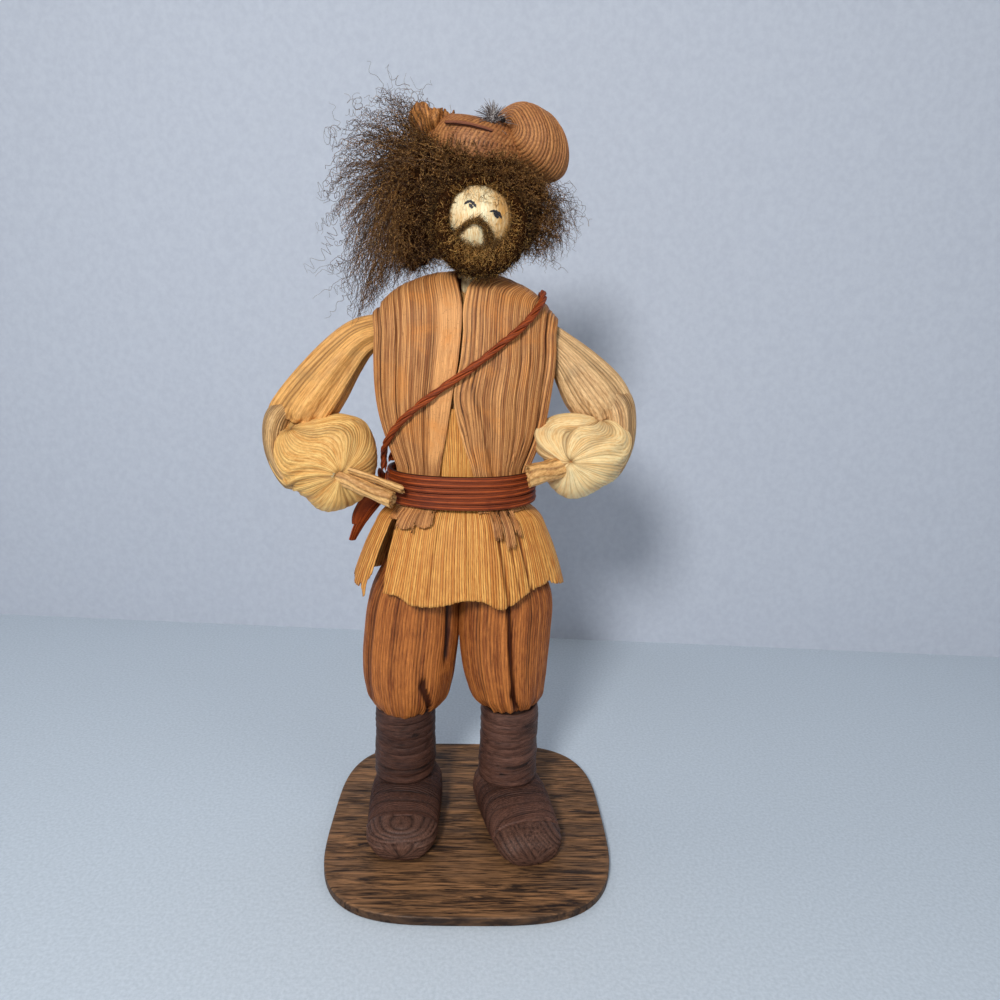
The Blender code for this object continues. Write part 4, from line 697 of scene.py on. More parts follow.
def makeTrouserLeg(side, finishes):
    leg, own = boots[side], trousers[side]
    hem = leg["hem"] + own["hemLift"]
    seed, tuck, lid = own["seed"], trousers["tuck"], trousers["lid"]

    def form(u, v):
        angle = tau * u
        rise = np.clip((v - tuck) / (lid - tuck), 0, 1)
        outer, inner, deep = (read(trouserEdges[side], place, rise) for place in (1, 2, 3))
        wide, middle = (outer - inner) / 2, (outer + inner) / 2
        share = np.clip(v / tuck, 0, 1)
        small = np.clip(share / 0.5, 0, 1) * trousers["tuckRadius"]
        turn = np.clip((share - 0.5) / 0.5, 0, 1)
        wide = np.where(v < tuck, small + (wide - small) * turn, wide)
        deep = np.where(v < tuck, small + (deep - small) * turn, deep)
        closing = np.clip((1 - v) / (1 - lid), 0, 1)
        wide, deep = wide * closing, deep * closing
        x, y = oval(wide, deep, angle, 2.15)
        z = hem + (trousers["top"] - hem) * rise + trousers["tuckRise"] * (1 - turn) ** 2 * (v < tuck)
        z = z - 0.6 * window(v, tuck * 0.8, tuck * 1.1, 0.02) * (0.5 + 0.5 * waves(u, seed + 8, 7, True))
        z = z - own["hemSag"] * np.clip(-np.sin(angle), 0, 1) * np.exp(-rise * 9)
        spots = np.stack([math.copysign(1, leg["x"]) * middle + x, leg["y"] * (1 - rise) + y, z], -1)
        high, groove, tone = ribs(u, v, trousers["ribs"], seed, wrapped=True)
        gather = np.exp(-rise * 15)
        pleats = waves(u + 0.01 * v, seed + 5, 26, True)
        folds = creases(u, rise, trouserFolds[side])
        swell = 0.55 * waves(u + 0.02 * np.sin(4 * v), seed + 6, 8, True) * window(rise, 0.08, 1, 0.08)
        height = trousers["ribHeight"] * high + 0.75 * gather * pleats - folds + swell
        height = height * np.clip(share * 1.2, 0, 1) * closing
        # painted shade: the folds and the troughs of the gathered pleats are darkened through the groove
        # value
        groove = groove * 0.8 + np.clip(folds, 0, 1.2) * 0.7 + 0.4 * gather * np.clip(-pleats, 0, 1)
        return spots, height, np.clip(groove, 0, 1), tone

    piece = husk(side + "_trouser_husk", trousers["ribs"] * 4, 62, form, finishes["trousers"], wrapped=True)
    settle(piece, "torso", "rust_husk", side + "_trouser_leg")


# The body's outline, which the tunic, vest, sash and strap all follow

body = {
    "waistWide": 19.8, "waistDeep": 12.5, "chestWide": 27.5, "chestDeep": 13.8,
    "sashBottom": 119.0, "sashTop": 131.0, "armhole": 172.5, "hem": 91.5, "neckX": 2.8,
    "frontWide": 30.0, "frontDeep": 19.6, "backWide": 35.25, "backDeep": 16.8,
    "vestIn": 1.3, "vestOut": 2.1, "sashMiddle": 3.4, "strapMiddle": 3.6,
}
# share of the way up from the sash, and shares of the chest's extra half width and half depth there
chestShares = [(0.0, 0.0, 0.0), (0.22, 0.42, 0.57), (0.5, 0.80, 1.0), (0.8, 0.99, 0.43), (1.0, 1.0, -0.5)]
# share of the way down from the sash, and share of the flare there
skirtShares = [(0.0, 0.0), (0.12, 0.30), (0.35, 0.55), (0.7, 0.82), (1.0, 1.0)]


def bodyHalf(z, part="front"):
    rise = (z - body["sashTop"]) / (body["armhole"] - body["sashTop"])
    drop = (body["sashBottom"] - z) / (body["sashBottom"] - body["hem"])
    flare = read(skirtShares, 1, drop)
    wide, deep = (np.where(rise > 0, read(chestShares, place, rise), flare) for place in (1, 2))
    farWide = np.where(rise > 0, body["chestWide"], body[part + "Wide"])
    farDeep = np.where(rise > 0, body["chestDeep"], body[part + "Deep"])
    return (body["waistWide"] + (farWide - body["waistWide"]) * wide,
            body["waistDeep"] + (farDeep - body["waistDeep"]) * deep)


shoulderLine = [  # distance from the middle, height
    (0, 190.9), (6, 190.7), (12, 189.5), (16, 188.0), (20.5, 185.8), (24, 183.0), (27, 179.6), (30, 176.5),
]


def topOf(x):
    return read(shoulderLine, 1, np.abs(x))


def onBody(x, z, out, front=True):
    # a point over the body's outside at x and z, on its front or back
    z = np.asarray(z, float)
    halfWide, halfDeep = bodyHalf(np.minimum(z, body["armhole"]))
    halfWide, halfDeep = halfWide + out, halfDeep + out
    share = np.clip(np.abs(x) / halfWide, 0, 1)
    y = halfDeep * np.clip(1 - share ** bodyRoundness, 0, 1) ** (1 / bodyRoundness)
    reach = topOf(x) - 0.8 - body["vestIn"] - body["armhole"] + out
    lift = np.clip((z - body["armhole"]) / reach, 0, 1)
    y = y * np.sqrt(1 - lift ** 2)
    return np.stack([x + 0 * y, -y if front else y, z + 0 * y], -1)


torso = {"ribs": 96, "lid": 0.03, "seed": 81}
torsoLevels = [  # height, half width, half depth
    (112.0, 19.0, 11.7), (119.0, 19.2, 11.9), (125.0, 18.4, 11.2), (131.0, 19.2, 11.9), (145.0, 23.2, 12.9),
    (160.0, 25.4, 12.6), (167.0, 23.6, 11.4), (172.5, 21.0, 10.4), (178.0, 15.0, 9.0), (182.6, 8.6, 7.4),
    (185.0, 5.0, 5.0),
]


def makeTorso(finishes):
    # the rolled and folded husk that everything is tied to
    low, high, lid = torsoLevels[0][0], torsoLevels[-1][0], torso["lid"]

    def form(u, v):
        rise = np.clip((v - lid) / (1 - 2 * lid), 0, 1) * (high - low) + low
        closing = tapered(v, lid)
        x, y = oval(read(torsoLevels, 1, rise) * closing, read(torsoLevels, 2, rise) * closing, tau * u)
        ridge, groove, tone = ribs(u, v, torso["ribs"], torso["seed"], wrapped=True)
        height = (0.2 * ridge + 0.3 * waves(u, torso["seed"] + 2, 9, True) - 0.5) * closing
        return np.stack([x, y, rise], -1), height, groove, tone

    piece = husk("rolled_body", torso["ribs"] * 2, 36, form, finishes["straw"], wrapped=True)
    settle(piece, "torso", "straw_husk", "torso_core")


# The tunic: a sheet in front and one behind, flaring to a ragged hem

tunic = {
    "top": 150.0, "ribHeight": 0.30, "wall": 0.45,
    "front": {"ribs": 72, "seed": 91, "angles": (217, 334), "spread": 0.6, "flat": (68.0, 60.0)},
    "back": {"ribs": 96, "seed": 97, "angles": (-31, 216), "spread": 1.0, "flat": (110.0, 58.0)},
}
tunicHems = {  # share of the way round, height
    "front": [(0.0, 91.6), (0.10, 91.0), (0.14, 89.6), (0.24, 88.8), (0.36, 89.6), (0.47, 91.4), (0.56, 91.2),
              (0.69, 88.2), (0.80, 91.6), (0.90, 93.4), (1.0, 94.6)],
    "back": [(0.0, 94.6), (0.06, 92.6), (0.12, 90.6), (0.3, 91.0), (0.5, 90.0), (0.7, 91.2), (0.80, 91.6),
             (0.88, 94.6), (0.93, 92.8), (0.965, 91.6), (0.985, 91.0), (1.0, 97.5)],
}
tunicFolds = {  # as the trousers' folds
    "front": [(0.735, 0.70, 0.010, 0.9, 0.0, 0.62), (0.885, 0.83, 0.010, 1.0, 0.0, 0.7),
              (0.80, 0.77, 0.006, 0.6, 0.0, 0.6), (0.30, 0.33, 0.008, 0.4, 0.1, 0.6),
              (0.52, 0.50, 0.006, 0.4, 0.0, 0.6)],
    "back": [],
}


def makeTunic(part, finishes):
    shape = tunic[part]
    count, seed = shape["ribs"], shape["seed"]
    wide, deep = bodyHalf(np.array(100.0), part)
    even = evenAngles(wide, deep, *(math.radians(angle) for angle in shape["angles"]))

    def form(u, v):
        rib = np.clip((u * count).astype(int), 0, count)
        ragged = 0.9 * np.random.RandomState(seed).uniform(-0.5, 0.5, count + 1)[rib]
        frayed = np.where(u > 0.84, 4.6, np.where(u < 0.06, 1.6, 0.35)) if part == "back" else 0.35
        bottom = read(tunicHems[part], 1, u) + ragged * frayed
        z = bottom + (tunic["top"] - bottom) * v ** 1.15
        halfWide, halfDeep = bodyHalf(z, part)
        flare = np.clip((body["sashBottom"] - z) / (body["sashBottom"] - body["hem"]), 0, 1.2)
        fold = flare * (0.8 * waves(u, seed + 3, 7) + 0.9)
        near = np.clip(flare, 0, 1)
        if part == "back":
            # its edges tuck under the front
            tuck = 2.6 * (1 - u) ** 4 + 3.0 * np.exp(-(u / 0.04) ** 2) + 2.6 * u ** 6
            halfWide = halfWide - near * tuck
        else:
            u = u + 0.045 * near * (1 - u)
        x, y = oval(halfWide + 0.5 + fold, halfDeep + 0.5 + fold * shape["spread"], even(u))
        high, groove, tone = ribs(u, v, count, seed)
        folds = creases(u, v, tunicFolds[part])
        height = tunic["ribHeight"] * high - folds
        # painted shade: the folds are darkened through the groove value
        return np.stack([x, y, z], -1), height, np.clip(groove + 0.6 * folds, 0, 1), tone

    piece = husk("tunic_" + part + "_husk", count * 4, 42, form, finishes["tunic"], wall=tunic["wall"])
    settle(piece, "torso", "golden_husk", "tunic_" + part)


# The vest: two husk panels from front to back over the shoulders

vest = {
    # v where a panel turns over the shoulder, and where it has turned
    "turnStart": 0.42, "turnEnd": 0.62, "ribs": 44, "ribHeight": 0.26, "wall": 0.45, "hem": 118.2,
    "right": {"sign": -1, "seed": 103, "flat": (38.0, 150.0)},
    "left": {"sign": 1, "seed": 113, "flat": (40.0, 154.0)},
}
seamX = {  # where each panel's inner edge runs, by height
    "right": [(112, -7.6), (119, -7.2), (132, -6.4), (141, -4.9), (153, -3.2), (165, -1.5), (173, -0.9)],
    "left": [(108, 6.4), (119, 5.2), (132, 2.9), (140, 0.2), (147, -1.6), (153, -2.6), (165, -0.9),
             (173, -0.3)],
}
neckline = {  # the inner edge's x as the panel turns over the shoulder, round the neck
    "right": [(0, -0.9), (0.5, -0.9), (0.78, -2.0), (1.0, -2.7), (1.26, -2.6), (1.5, -1.2), (1.72, 0.2),
              (2.2, -0.5), (3.15, -1.1)],
    "left": [(0, -0.3), (0.5, -0.3), (0.78, 1.2), (1.0, 4.6), (1.26, 7.6), (1.5, 5.6), (1.72, 2.4),
             (2.2, 0.4), (3.15, -0.5)],
}
tabs = {  # below the sash: from u, to u, how far down
    "right": [(0.05, 0.30, 4.6), (0.30, 0.62, 5.6), (0.62, 0.85, 3.4)],
    "left": [(0.16, 0.30, 7.0), (0.30, 0.46, 10.4), (0.46, 0.58, 6.4)],
}


vestFolds = {  # as the trousers' folds
    "right": [(0.60, 0.64, 0.012, 0.8, 0.10, 0.42), (0.30, 0.22, 0.02, 0.4, 0.05, 0.4),
              (0.86, 0.90, 0.02, 0.6, 0.1, 0.5)],
    "left": [(0.32, 0.10, 0.016, 0.5, 0.06, 0.3), (0.88, 0.86, 0.012, 0.9, 0.1, 0.46),
             (0.55, 0.50, 0.015, 0.5, 0.1, 0.4), (0.72, 0.62, 0.012, 0.5, 0.05, 0.36)],
}


def tabDrop(side, inner):
    # how far the ragged tabs hang below the sash
    if side == "right":
        return sum(length * (0.7 + 0.3 * np.sin(np.pi * np.clip((inner - a) / (b - a), 0, 1)) ** 0.6)
                   * window(inner, a, b, 0.004) for a, b, length in tabs[side])
    return sum(length * window(inner, a + 0.015, b - 0.015, 0.015) for a, b, length in tabs[side])


def makeVest(side, finishes):
    sign, seed = vest[side]["sign"], vest[side]["seed"]
    turnStart, turnEnd = vest["turnStart"], vest["turnEnd"]
    armhole = body["armhole"]

    def form(u, v):
        # u runs so that the outside faces out: from the outer edge to the seam at the right, back at the left
        inner = 1 - u if side == "right" else u
        chance = np.random.RandomState(seed)
        rib = np.clip((inner * vest["ribs"] * 2).astype(int), 0, vest["ribs"] * 2)
        ragged = chance.uniform(-1, 1, vest["ribs"] * 2 + 1)[rib]
        drop = tabDrop(side, inner)
        rag = np.where((drop > 1) & (side == "left"), 1.4, 0.2)
        hem = vest["hem"] - np.maximum(drop + ragged * rag, 0)
        front, back = v < turnStart, v > turnEnd
        down = armhole + (vest["hem"] - armhole) * (v - turnEnd) / (1 - turnEnd)
        z = np.where(front, hem + (armhole - hem) * v / turnStart, np.where(back, down, armhole))
        turn = np.pi * np.clip((v - turnStart) / (turnEnd - turnStart), 0, 1)
        halfWide, halfDeep = bodyHalf(z)
        low = np.clip((z - body["sashTop"]) / (armhole - body["sashTop"]), 0, 1)
        edge = sign * (halfWide + body["vestOut"]) * (0.960 - 0.028 * low)
        seam = np.where(turn > 0, read(neckline[side], 1, turn), read(seamX[side], 1, np.clip(z, 108, 173)))
        edge = edge + sign * (0.5 * waves(v, seed + 7, 5) + 0.9 * np.sin(turn))
        a = np.arccos(np.clip(power(seam / (halfWide + body["vestIn"]), 1.2), -1, 1))
        b = np.arccos(np.clip(power(edge / (halfWide + body["vestIn"] + 1.5), 1.2), -1, 1))
        gap = body["vestIn"] + 0.6 + 0.35 * waves(inner + 0.1 * v, seed + 8, 5)
        gap = gap + 0.9 * window(inner, 0.93, 1.2, 0.06) * window(v, 0.12, 0.9, 0.1)
        below = np.clip((vest["hem"] + 1 - z) / 6, 0, 1) * front
        x, y = oval(halfWide + gap, halfDeep + gap + 1.4 * below, a + (b - a) * inner)
        rise = topOf(x) - 0.8 - armhole + 0.5
        collar = 1.7 * np.exp(-((x - body["neckX"]) / 6.5) ** 2) * window(turn, 0.80, 1.05, 0.32)
        spots = np.stack([x, np.where(back, y, -y * np.cos(turn)), z + rise * np.sin(turn) + collar], -1)
        high, groove, tone = ribs(inner, v, vest["ribs"], seed)
        folds = creases(inner, v, vestFolds[side])
        smooth = window(inner, 0.0, 0.16, 0.05) * window(v, 0.16, 0.44, 0.04) * (side == "right")
        height = (vest["ribHeight"] * high - folds) * (1 - 0.6 * smooth)
        # painted shade: the folds are darkened through the groove value, less of it on the smooth band
        groove = np.clip(groove * (1 - 0.6 * smooth) + 0.6 * folds, 0, 1)
        return spots, height, groove, np.clip(tone + 0.45 * smooth, 0, 1)

    piece = husk(side + "_vest_husk", vest["ribs"] * 4, 116, form, finishes["vest"], wall=vest["wall"])
    settle(piece, "torso", "tan_husk", side + "_vest_panel")


# The sash, wound six times, with its knot and tails, and the twisted strap

sash = {"turns": 6, "bottom": 119.2, "pitch": 1.70, "halfTall": 1.0, "halfWall": 0.85,
        "knot": (-24.9, 5.2, 124.2)}
sashTails = {  # steps from the knot, width, twist, face, ribs
    "long": ([(-0.3, -0.8, -2.0), (-3.0, -1.8, -6.5), (-6.4, -2.6, -11.0), (-9.2, -2.8, -15.6),
              (-11.6, -2.4, -21.0)], 4.4, 0.7, (0.3, -1, 0), 4),
    "short": ([(-0.4, -0.2, -1.6), (-3.6, -3.0, -4.6), (-7.2, -4.0, -8.6), (-9.2, -4.0, -12.4),
               (-9.6, -3.6, -15.0)], 5.2, 0.5, (0.2, -1, 0.1), 5),
}


def makeSash(finishes):
    wide = body["waistWide"] + body["sashMiddle"]
    deep = body["waistDeep"] + body["sashMiddle"]

    def form(u, v):
        angle = tau * sash["turns"] * v + 2.75
        x, y = oval(wide, deep, angle)
        outX, outY = np.cos(angle) * deep, np.sin(angle) * wide
        size = np.hypot(outX, outY)
        a, b = oval(sash["halfWall"], sash["halfTall"], tau * u, 2.5)
        ends = window(v, 0.003, 0.997, 0.003)
        ridge = np.where(np.cos(tau * u) > 0, np.cos(tau * b / 0.66), 0)
        a = (a + 0.19 * ridge + 0.10 * waves(v, 203, 30)) * ends
        sag = -0.7 * np.clip(-np.sin(angle), 0, 1) ** 2
        lift = sash["bottom"] + sash["halfTall"] + sash["pitch"] * sash["turns"] * v + sag
        lift = lift + 0.22 * waves(v, 207, 22)
        spots = np.stack([x + a * outX / size, y + a * outY / size, lift + b * ends], -1)
        # painted shade at the strip's edges between turns; painted highlight along each turn's rounded upper
        # middle
        groove = np.clip(np.abs(b) / sash["halfTall"] * 1.5 - 0.75, 0, 1) + 0.46 * (1 - ridge)
        tone = 0.45 + 0.55 * np.clip(1 - np.abs(b - 0.25) / 0.35, 0, 1) * (0.6 + 0.4 * waves(v, 209, 18))
        return spots, np.zeros_like(u), np.clip(groove, 0, 1), tone

    piece = husk("wound_sash", 18, sash["turns"] * 110, form, finishes["sash"], wrapped=True)
    settle(piece, "torso", "red_brown_husk", "sash")
    makeKnot(finishes)


ribbons = {"columns": 30, "seed": 5}


def ribbon(name, points, width, wall, finish, twist, face, ribCount, rows, narrow):
    # a strip of husk along a line, with its own twist, closed round and at both ends
    seed = ribbons["seed"]

    def form(u, v):
        line = route(points, v[:, 0])
        ahead = unit(np.gradient(line, axis=0))
        across = unit(np.cross(ahead, np.asarray(face, float)))
        out = np.cross(across, ahead)
        turn = twist * v[:, :1]
        size = width / 2 * (narrow + (1 - narrow) * np.sin(np.pi * np.clip(v * 0.85 + 0.1, 0, 1)))
        ends = tapered(v, 2 / rows)
        a, b = oval(size, wall / 2, tau * u, 2.6)
        ridge = np.cos(tau * ribCount * np.cos(tau * u) / 2)
        b = b * (1 + 0.35 * ridge)
        a, b = a * ends, b * ends
        wide = a * np.cos(turn) - b * np.sin(turn)
        thick = a * np.sin(turn) + b * np.cos(turn)
        spots = line[:, None] + across[:, None] * wide[..., None] + out[:, None] * thick[..., None]
        spots = spots + ripple(spots, 5.0, seed)[..., None] * out[:, None] * 0.15 * ends[..., None]
        return spots, np.zeros_like(u), 0.5 * (1 - ridge) * 0.9, 0.5 + 0.4 * waves(u, seed, 5, True)

    return husk(name, ribbons["columns"], rows, form, finish, wrapped=True)


def makeKnot(finishes):
    x, y, z = sash["knot"]
    coils = []
    for step in range(49):
        t = step / 48
        turn = tau * 2.6 * t
        coils.append((x + 1.5 * math.cos(turn * 0.5) - 0.4, y - 0.4 + 2.3 * math.sin(turn),
                      z + 2.7 * math.cos(turn) * (1 - 0.3 * t)))
    piece = ribbon("sash_knot_loops", coils, 3.0, 1.3, finishes["sash"], 1.2, (1, 0, 0.2), 4, 120, 0.8)
    settle(piece, "torso", "red_brown_husk", "sash_knot")
    for which, (steps, width, twist, face, ribCount) in sashTails.items():
        line = [(x + stepX, y + stepY, z + stepZ) for stepX, stepY, stepZ in steps]
        piece = ribbon(which + "_sash_tail", line, width, 0.8, finishes["sash"], twist, face, ribCount,
                       90, 0.7)
        settle(piece, "torso", "red_brown_husk", "sash_tail_" + which)


strap = {"strand": 1.42, "offset": 0.52, "pitch": 21.0, "shoulderX": 23.6}
strapFront = [(-25.4, 127.5), (-25.4, 132.0), (-23.2, 139.0), (-19.2, 145.0), (-13.4, 150.6), (-6.0, 156.4),
              (3.3, 163.0), (10.4, 169.0), (17.8, 175.4), (21.6, 180.0)]
strapBack = [(19.8, 172.5), (7.0, 160.0), (-4.7, 149.0), (-14.5, 140.5), (-21.0, 135.4), (-23.5, 131.0)]


def strapLine():
    points = [onBody(x, z, body["strapMiddle"]) for x, z in strapFront]
    halfWide, halfDeep = (half + body["strapMiddle"] for half in bodyHalf(np.array(body["armhole"])))
    y = halfDeep * (1 - (strap["shoulderX"] / halfWide) ** bodyRoundness) ** (1 / bodyRoundness)
    rise = topOf(strap["shoulderX"]) - body["armhole"] + 1.5
    for step in range(2, 6):
        turn = math.pi * step / 6
        points.append((strap["shoulderX"], -y * math.cos(turn), body["armhole"] + rise * math.sin(turn)))
    points += [onBody(x, z, body["strapMiddle"], False) for x, z in strapBack]
    return np.array(points)


def makeStrap(finishes):
    points = strapLine()
    length = np.linalg.norm(np.diff(points, axis=0), axis=1).sum()
    plies = []
    for ply in range(2):
        def form(u, v):
            line = route(points, v[:, 0])
            ahead = unit(np.gradient(line, axis=0))
            side = unit(np.cross(ahead, np.array([0, 0.3, 1.0])))
            up = np.cross(ahead, side)
            turn = tau * (length / strap["pitch"] * v[:, :1] + ply / 2) + 1.2 * waves(v[:, :1], 231, 5)
            middle = line + (side * np.cos(turn) + up * np.sin(turn)) * strap["offset"]
            ends = tapered(v, 1 / 90)
            size = strap["strand"] / 2 * (1 + 0.13 * waves(v, 233 + ply, 30)) * ends
            ridge = np.cos(tau * 5 * u + 2 * turn)
            size = size * (1 + 0.10 * ridge)
            spin = turn[:, :, None]
            flat = side[:, None] * np.cos(spin) + up[:, None] * np.sin(spin)
            tall = up[:, None] * np.cos(spin) - side[:, None] * np.sin(spin)
            spots = (middle[:, None] + flat * (0.8 * size * np.cos(tau * u))[..., None]
                     + tall * (1.25 * size * np.sin(tau * u))[..., None])
            return spots, np.zeros_like(u), 0.45 * (1 - ridge) * 0.8, 0.45 + 0.35 * waves(v, 235 + ply, 20)

        plies.append(husk("strap_ply_" + str(ply + 1), 12, 420, form, finishes["sash"], wrapped=True))
    settle(plies[0], "torso", "red_brown_husk", "shoulder_strap")
    settle(plies[1], "torso", "red_brown_husk")


# Arms: each an upper sleeve, the puff below the elbow, the band that folds round the elbow, and a hand

sleeves = {"ribs": 44, "ribHeight": 0.30, "end": 0.84, "start": 0.02, "right": 261, "left": 271}
sleeveRows = {  # upper edge x and z, lower edge x and z, half depth
    "right": [(-22.8, 175.4, -22.8, 169.2, 2.8), (-26.5, 176.8, -26.0, 167.5, 4.2),
              (-34.9, 174.8, -29.8, 164.4, 5.8), (-42.8, 169.2, -33.2, 158.6, 7.4),
              (-52.6, 159.4, -36.8, 151.6, 8.8), (-59.4, 150.8, -40.4, 145.6, 9.2),
              (-61.4, 146.4, -42.0, 143.0, 8.2)],
    "left": [(22.8, 175.2, 22.8, 169.4, 2.8), (26.5, 176.2, 25.2, 166.0, 4.2),
             (34.2, 172.0, 27.8, 161.6, 5.8), (41.8, 167.0, 29.8, 157.0, 7.4),
             (48.8, 161.2, 32.2, 151.8, 8.8), (52.8, 155.6, 34.8, 148.2, 9.2),
             (54.0, 151.0, 36.6, 146.4, 8.2)],
}
puffs = {  # deep is half the depth, elbow and wrist are the ways there, outline has angles and radii
    "right": {"middle": (-44.6, -4.0, 130.6), "deep": 13.6, "elbow": (-0.58, -0.30, 0.76),
              "wrist": (0.50, -0.86, -0.08), "swirl": 0.9, "ribs": 54, "seed": 301,
              "outline": [(0, 17.3), (25, 17.9), (45, 18.3), (64, 16.8), (88, 14.6), (115, 14.6), (147, 17.0),
                          (171, 16.2), (204, 13.0), (243, 12.8), (267, 14.4), (286, 14.8), (307, 16.0),
                          (345, 16.5)]},
    "left": {"middle": (38.5, -6.6, 136.5), "deep": 13.8, "elbow": (0.36, -0.08, 0.93),
             "wrist": (-0.40, -0.91, -0.06), "swirl": -1.1, "ribs": 50, "seed": 311,
             "outline": [(0, 14.2), (26, 15.6), (49, 14.0), (68, 12.0), (90, 11.6), (114, 12.6), (136, 14.3),
                         (158, 16.3), (173, 15.5), (187, 13.8), (231, 14.4), (249, 13.7), (283, 12.2),
                         (318, 12.6)]},
}


def sleeveEdges(side, t):
    upperX, upperZ, lowerX, lowerZ, deep = (readEven(sleeveRows[side], place, t) for place in range(5))
    zero = np.zeros_like(t)
    return np.stack([upperX, zero, upperZ], -1), np.stack([lowerX, zero, lowerZ], -1), deep


def makeSleeve(side, finishes):
    seed, start, end = sleeves[side], sleeves["start"], sleeves["end"]

    def form(u, v):
        t = np.clip((v - start) / (end - start), 0, 1)
        upper, lower, deep = sleeveEdges(side, t)
        middle, reach = (upper + lower) / 2, (upper - lower) / 2
        x, y = oval(1.0, 1.0, tau * u, 2.15)
        tuck = np.clip((v - end) / (1 - end), 0, 1)
        closing = np.clip(v / start, 0, 1) * np.cos(tuck * np.pi / 2) ** 0.7
        down = unit(np.array([sleeveRows[side][-1][0] - sleeveRows[side][-3][0], 0, -9.0]))
        sink = down * (1.8 * np.sin(tuck * np.pi) - 3.0 * tuck ** 2)[..., None]
        spots = (middle + reach * (x * closing)[..., None]
                 + np.array([0, 1.0, 0]) * (y * deep * closing)[..., None] + sink)
        high, groove, tone = ribs(u, v, sleeves["ribs"], seed, wrapped=True, even=0.2)
        flutes = waves(u + 0.015 * np.sin(3 * v), seed + 2, 9, True)
        gather = waves(u, seed + 4, 20, True)
        ease = window(v, 0.06, 0.80, 0.06)
        height = (sleeves["ribHeight"] * high + (0.75 + 0.5 * t) * flutes * ease
                  + 0.8 * gather * np.exp(-((v - end) / 0.09) ** 2)) * closing
        # painted shade in the flutes' troughs, the gathers and the tucked end; painted highlight on the
        # flutes' crests
        groove = groove * 0.55 + 0.45 * np.clip(-flutes, 0, 1) * ease + 0.75 * tuck
        groove = groove + 0.35 * np.clip(-gather, 0, 1) * np.exp(-((v - end) / 0.08) ** 2)
        return spots, height, np.clip(groove, 0, 1), np.clip(0.5 * tone + 0.5 + 0.2 * flutes, 0, 1)

    piece = husk(side + "_upper_sleeve_husk", sleeves["ribs"] * 5, 74, form, finishes[side + "Sleeve"],
                 wrapped=True)
    settle(piece, side + "_upper_arm", "pale_husk", side + "_upper_sleeve")


def makePuff(side, finishes):
    shape = puffs[side]
    elbowWay, wristWay = unit(np.array(shape["elbow"])), unit(np.array(shape["wrist"]))
    lean = unit(elbowWay + wristWay)
    aside = unit(np.cross(elbowWay, wristWay))
    seed = shape["seed"]
    outline = [(angle + turn, radius) for turn in (-360, 0, 360) for angle, radius in shape["outline"]]

    def form(u, v):
        t = 0.5 - 0.5 * np.cos(np.pi * v)
        turn = tau * u + shape["swirl"] * (t - 0.5)
        bow = 1.55 * np.sin(np.pi * t)
        way = (elbowWay * (1 - t)[..., None] + wristWay * t[..., None]
               + (lean * np.cos(turn)[..., None] + aside * np.sin(turn)[..., None]) * bow[..., None])
        way = unit(way)
        reach = read(outline, 1, np.degrees(np.arctan2(way[..., 2], way[..., 0])))
        near = np.hypot(way[..., 0], way[..., 2])
        radius = 14.5 + (reach - 14.5) * np.clip(near * 1.25, 0, 1) ** 2
        spots = np.array(shape["middle"]) + np.stack([way[..., 0] * radius, way[..., 1] * shape["deep"],
                                                      way[..., 2] * radius], -1)
        high, groove, tone = ribs(u, v, shape["ribs"], seed, wrapped=True, even=0.4)
        skein = waves(u + 0.03 * np.sin(5 * t), seed + 3, 14, True)
        lobes = waves(u, seed + 5, 5, True)
        ease = np.clip(np.sin(np.pi * t), 0, 1) ** 0.5
        rim = np.exp(-(((1 - t) - 0.035) / 0.03) ** 2)
        height = (0.34 * high + 0.75 * skein + 1.0 * lobes) * ease + 0.9 * rim
        height = height - 1.6 * np.exp(-t / 0.02) - 1.5 * np.exp(-(1 - t) / 0.01)
        # painted shade in the skein's troughs and at both pinched ends; painted highlight on the lobes
        groove = groove * 0.5 + 0.35 * np.clip(-skein, 0, 1) + 0.6 * np.exp(-((1 - t) / 0.015))
        groove = groove + 0.7 * np.exp(-t / 0.03)
        return spots, height, np.clip(groove, 0, 1), np.clip(0.6 * tone + 0.3 + 0.2 * lobes, 0, 1)

    piece = husk(side + "_puff_husk", shape["ribs"] * 5, 86, form, finishes[side + "Puff"], wrapped=True)
    settle(piece, side + "_forearm", "pale_husk", side + "_sleeve_puff")


elbowRows = {  # outer edge x and z, inner edge x and z, middle y, half depth
    "right": [(-57.6, 152.2, -50.0, 149.0, -0.8, 5.4), (-61.9, 146.6, -53.6, 144.4, -1.4, 8.4),
              (-62.9, 140.4, -55.0, 139.2, -2.6, 8.4), (-61.8, 133.0, -54.2, 133.2, -3.8, 7.6),
              (-58.4, 125.6, -50.2, 127.6, -4.8, 7.0), (-53.6, 120.4, -46.0, 123.6, -5.8, 5.4)],
    "left": [(47.6, 159.6, 41.0, 154.2, -0.6, 5.4), (52.9, 154.4, 43.4, 149.6, -1.3, 8.6),
             (54.4, 147.0, 44.2, 143.6, -2.8, 8.6), (53.8, 138.8, 43.4, 137.6, -4.0, 8.4),
             (50.4, 130.8, 41.0, 131.6, -5.2, 7.2), (45.2, 126.0, 38.0, 127.8, -6.2, 5.4)],
}


elbows = {"ribs": 40, "right": {"seed": 331, "finish": "cuff"}, "left": {"seed": 341, "finish": "leftSleeve"}}


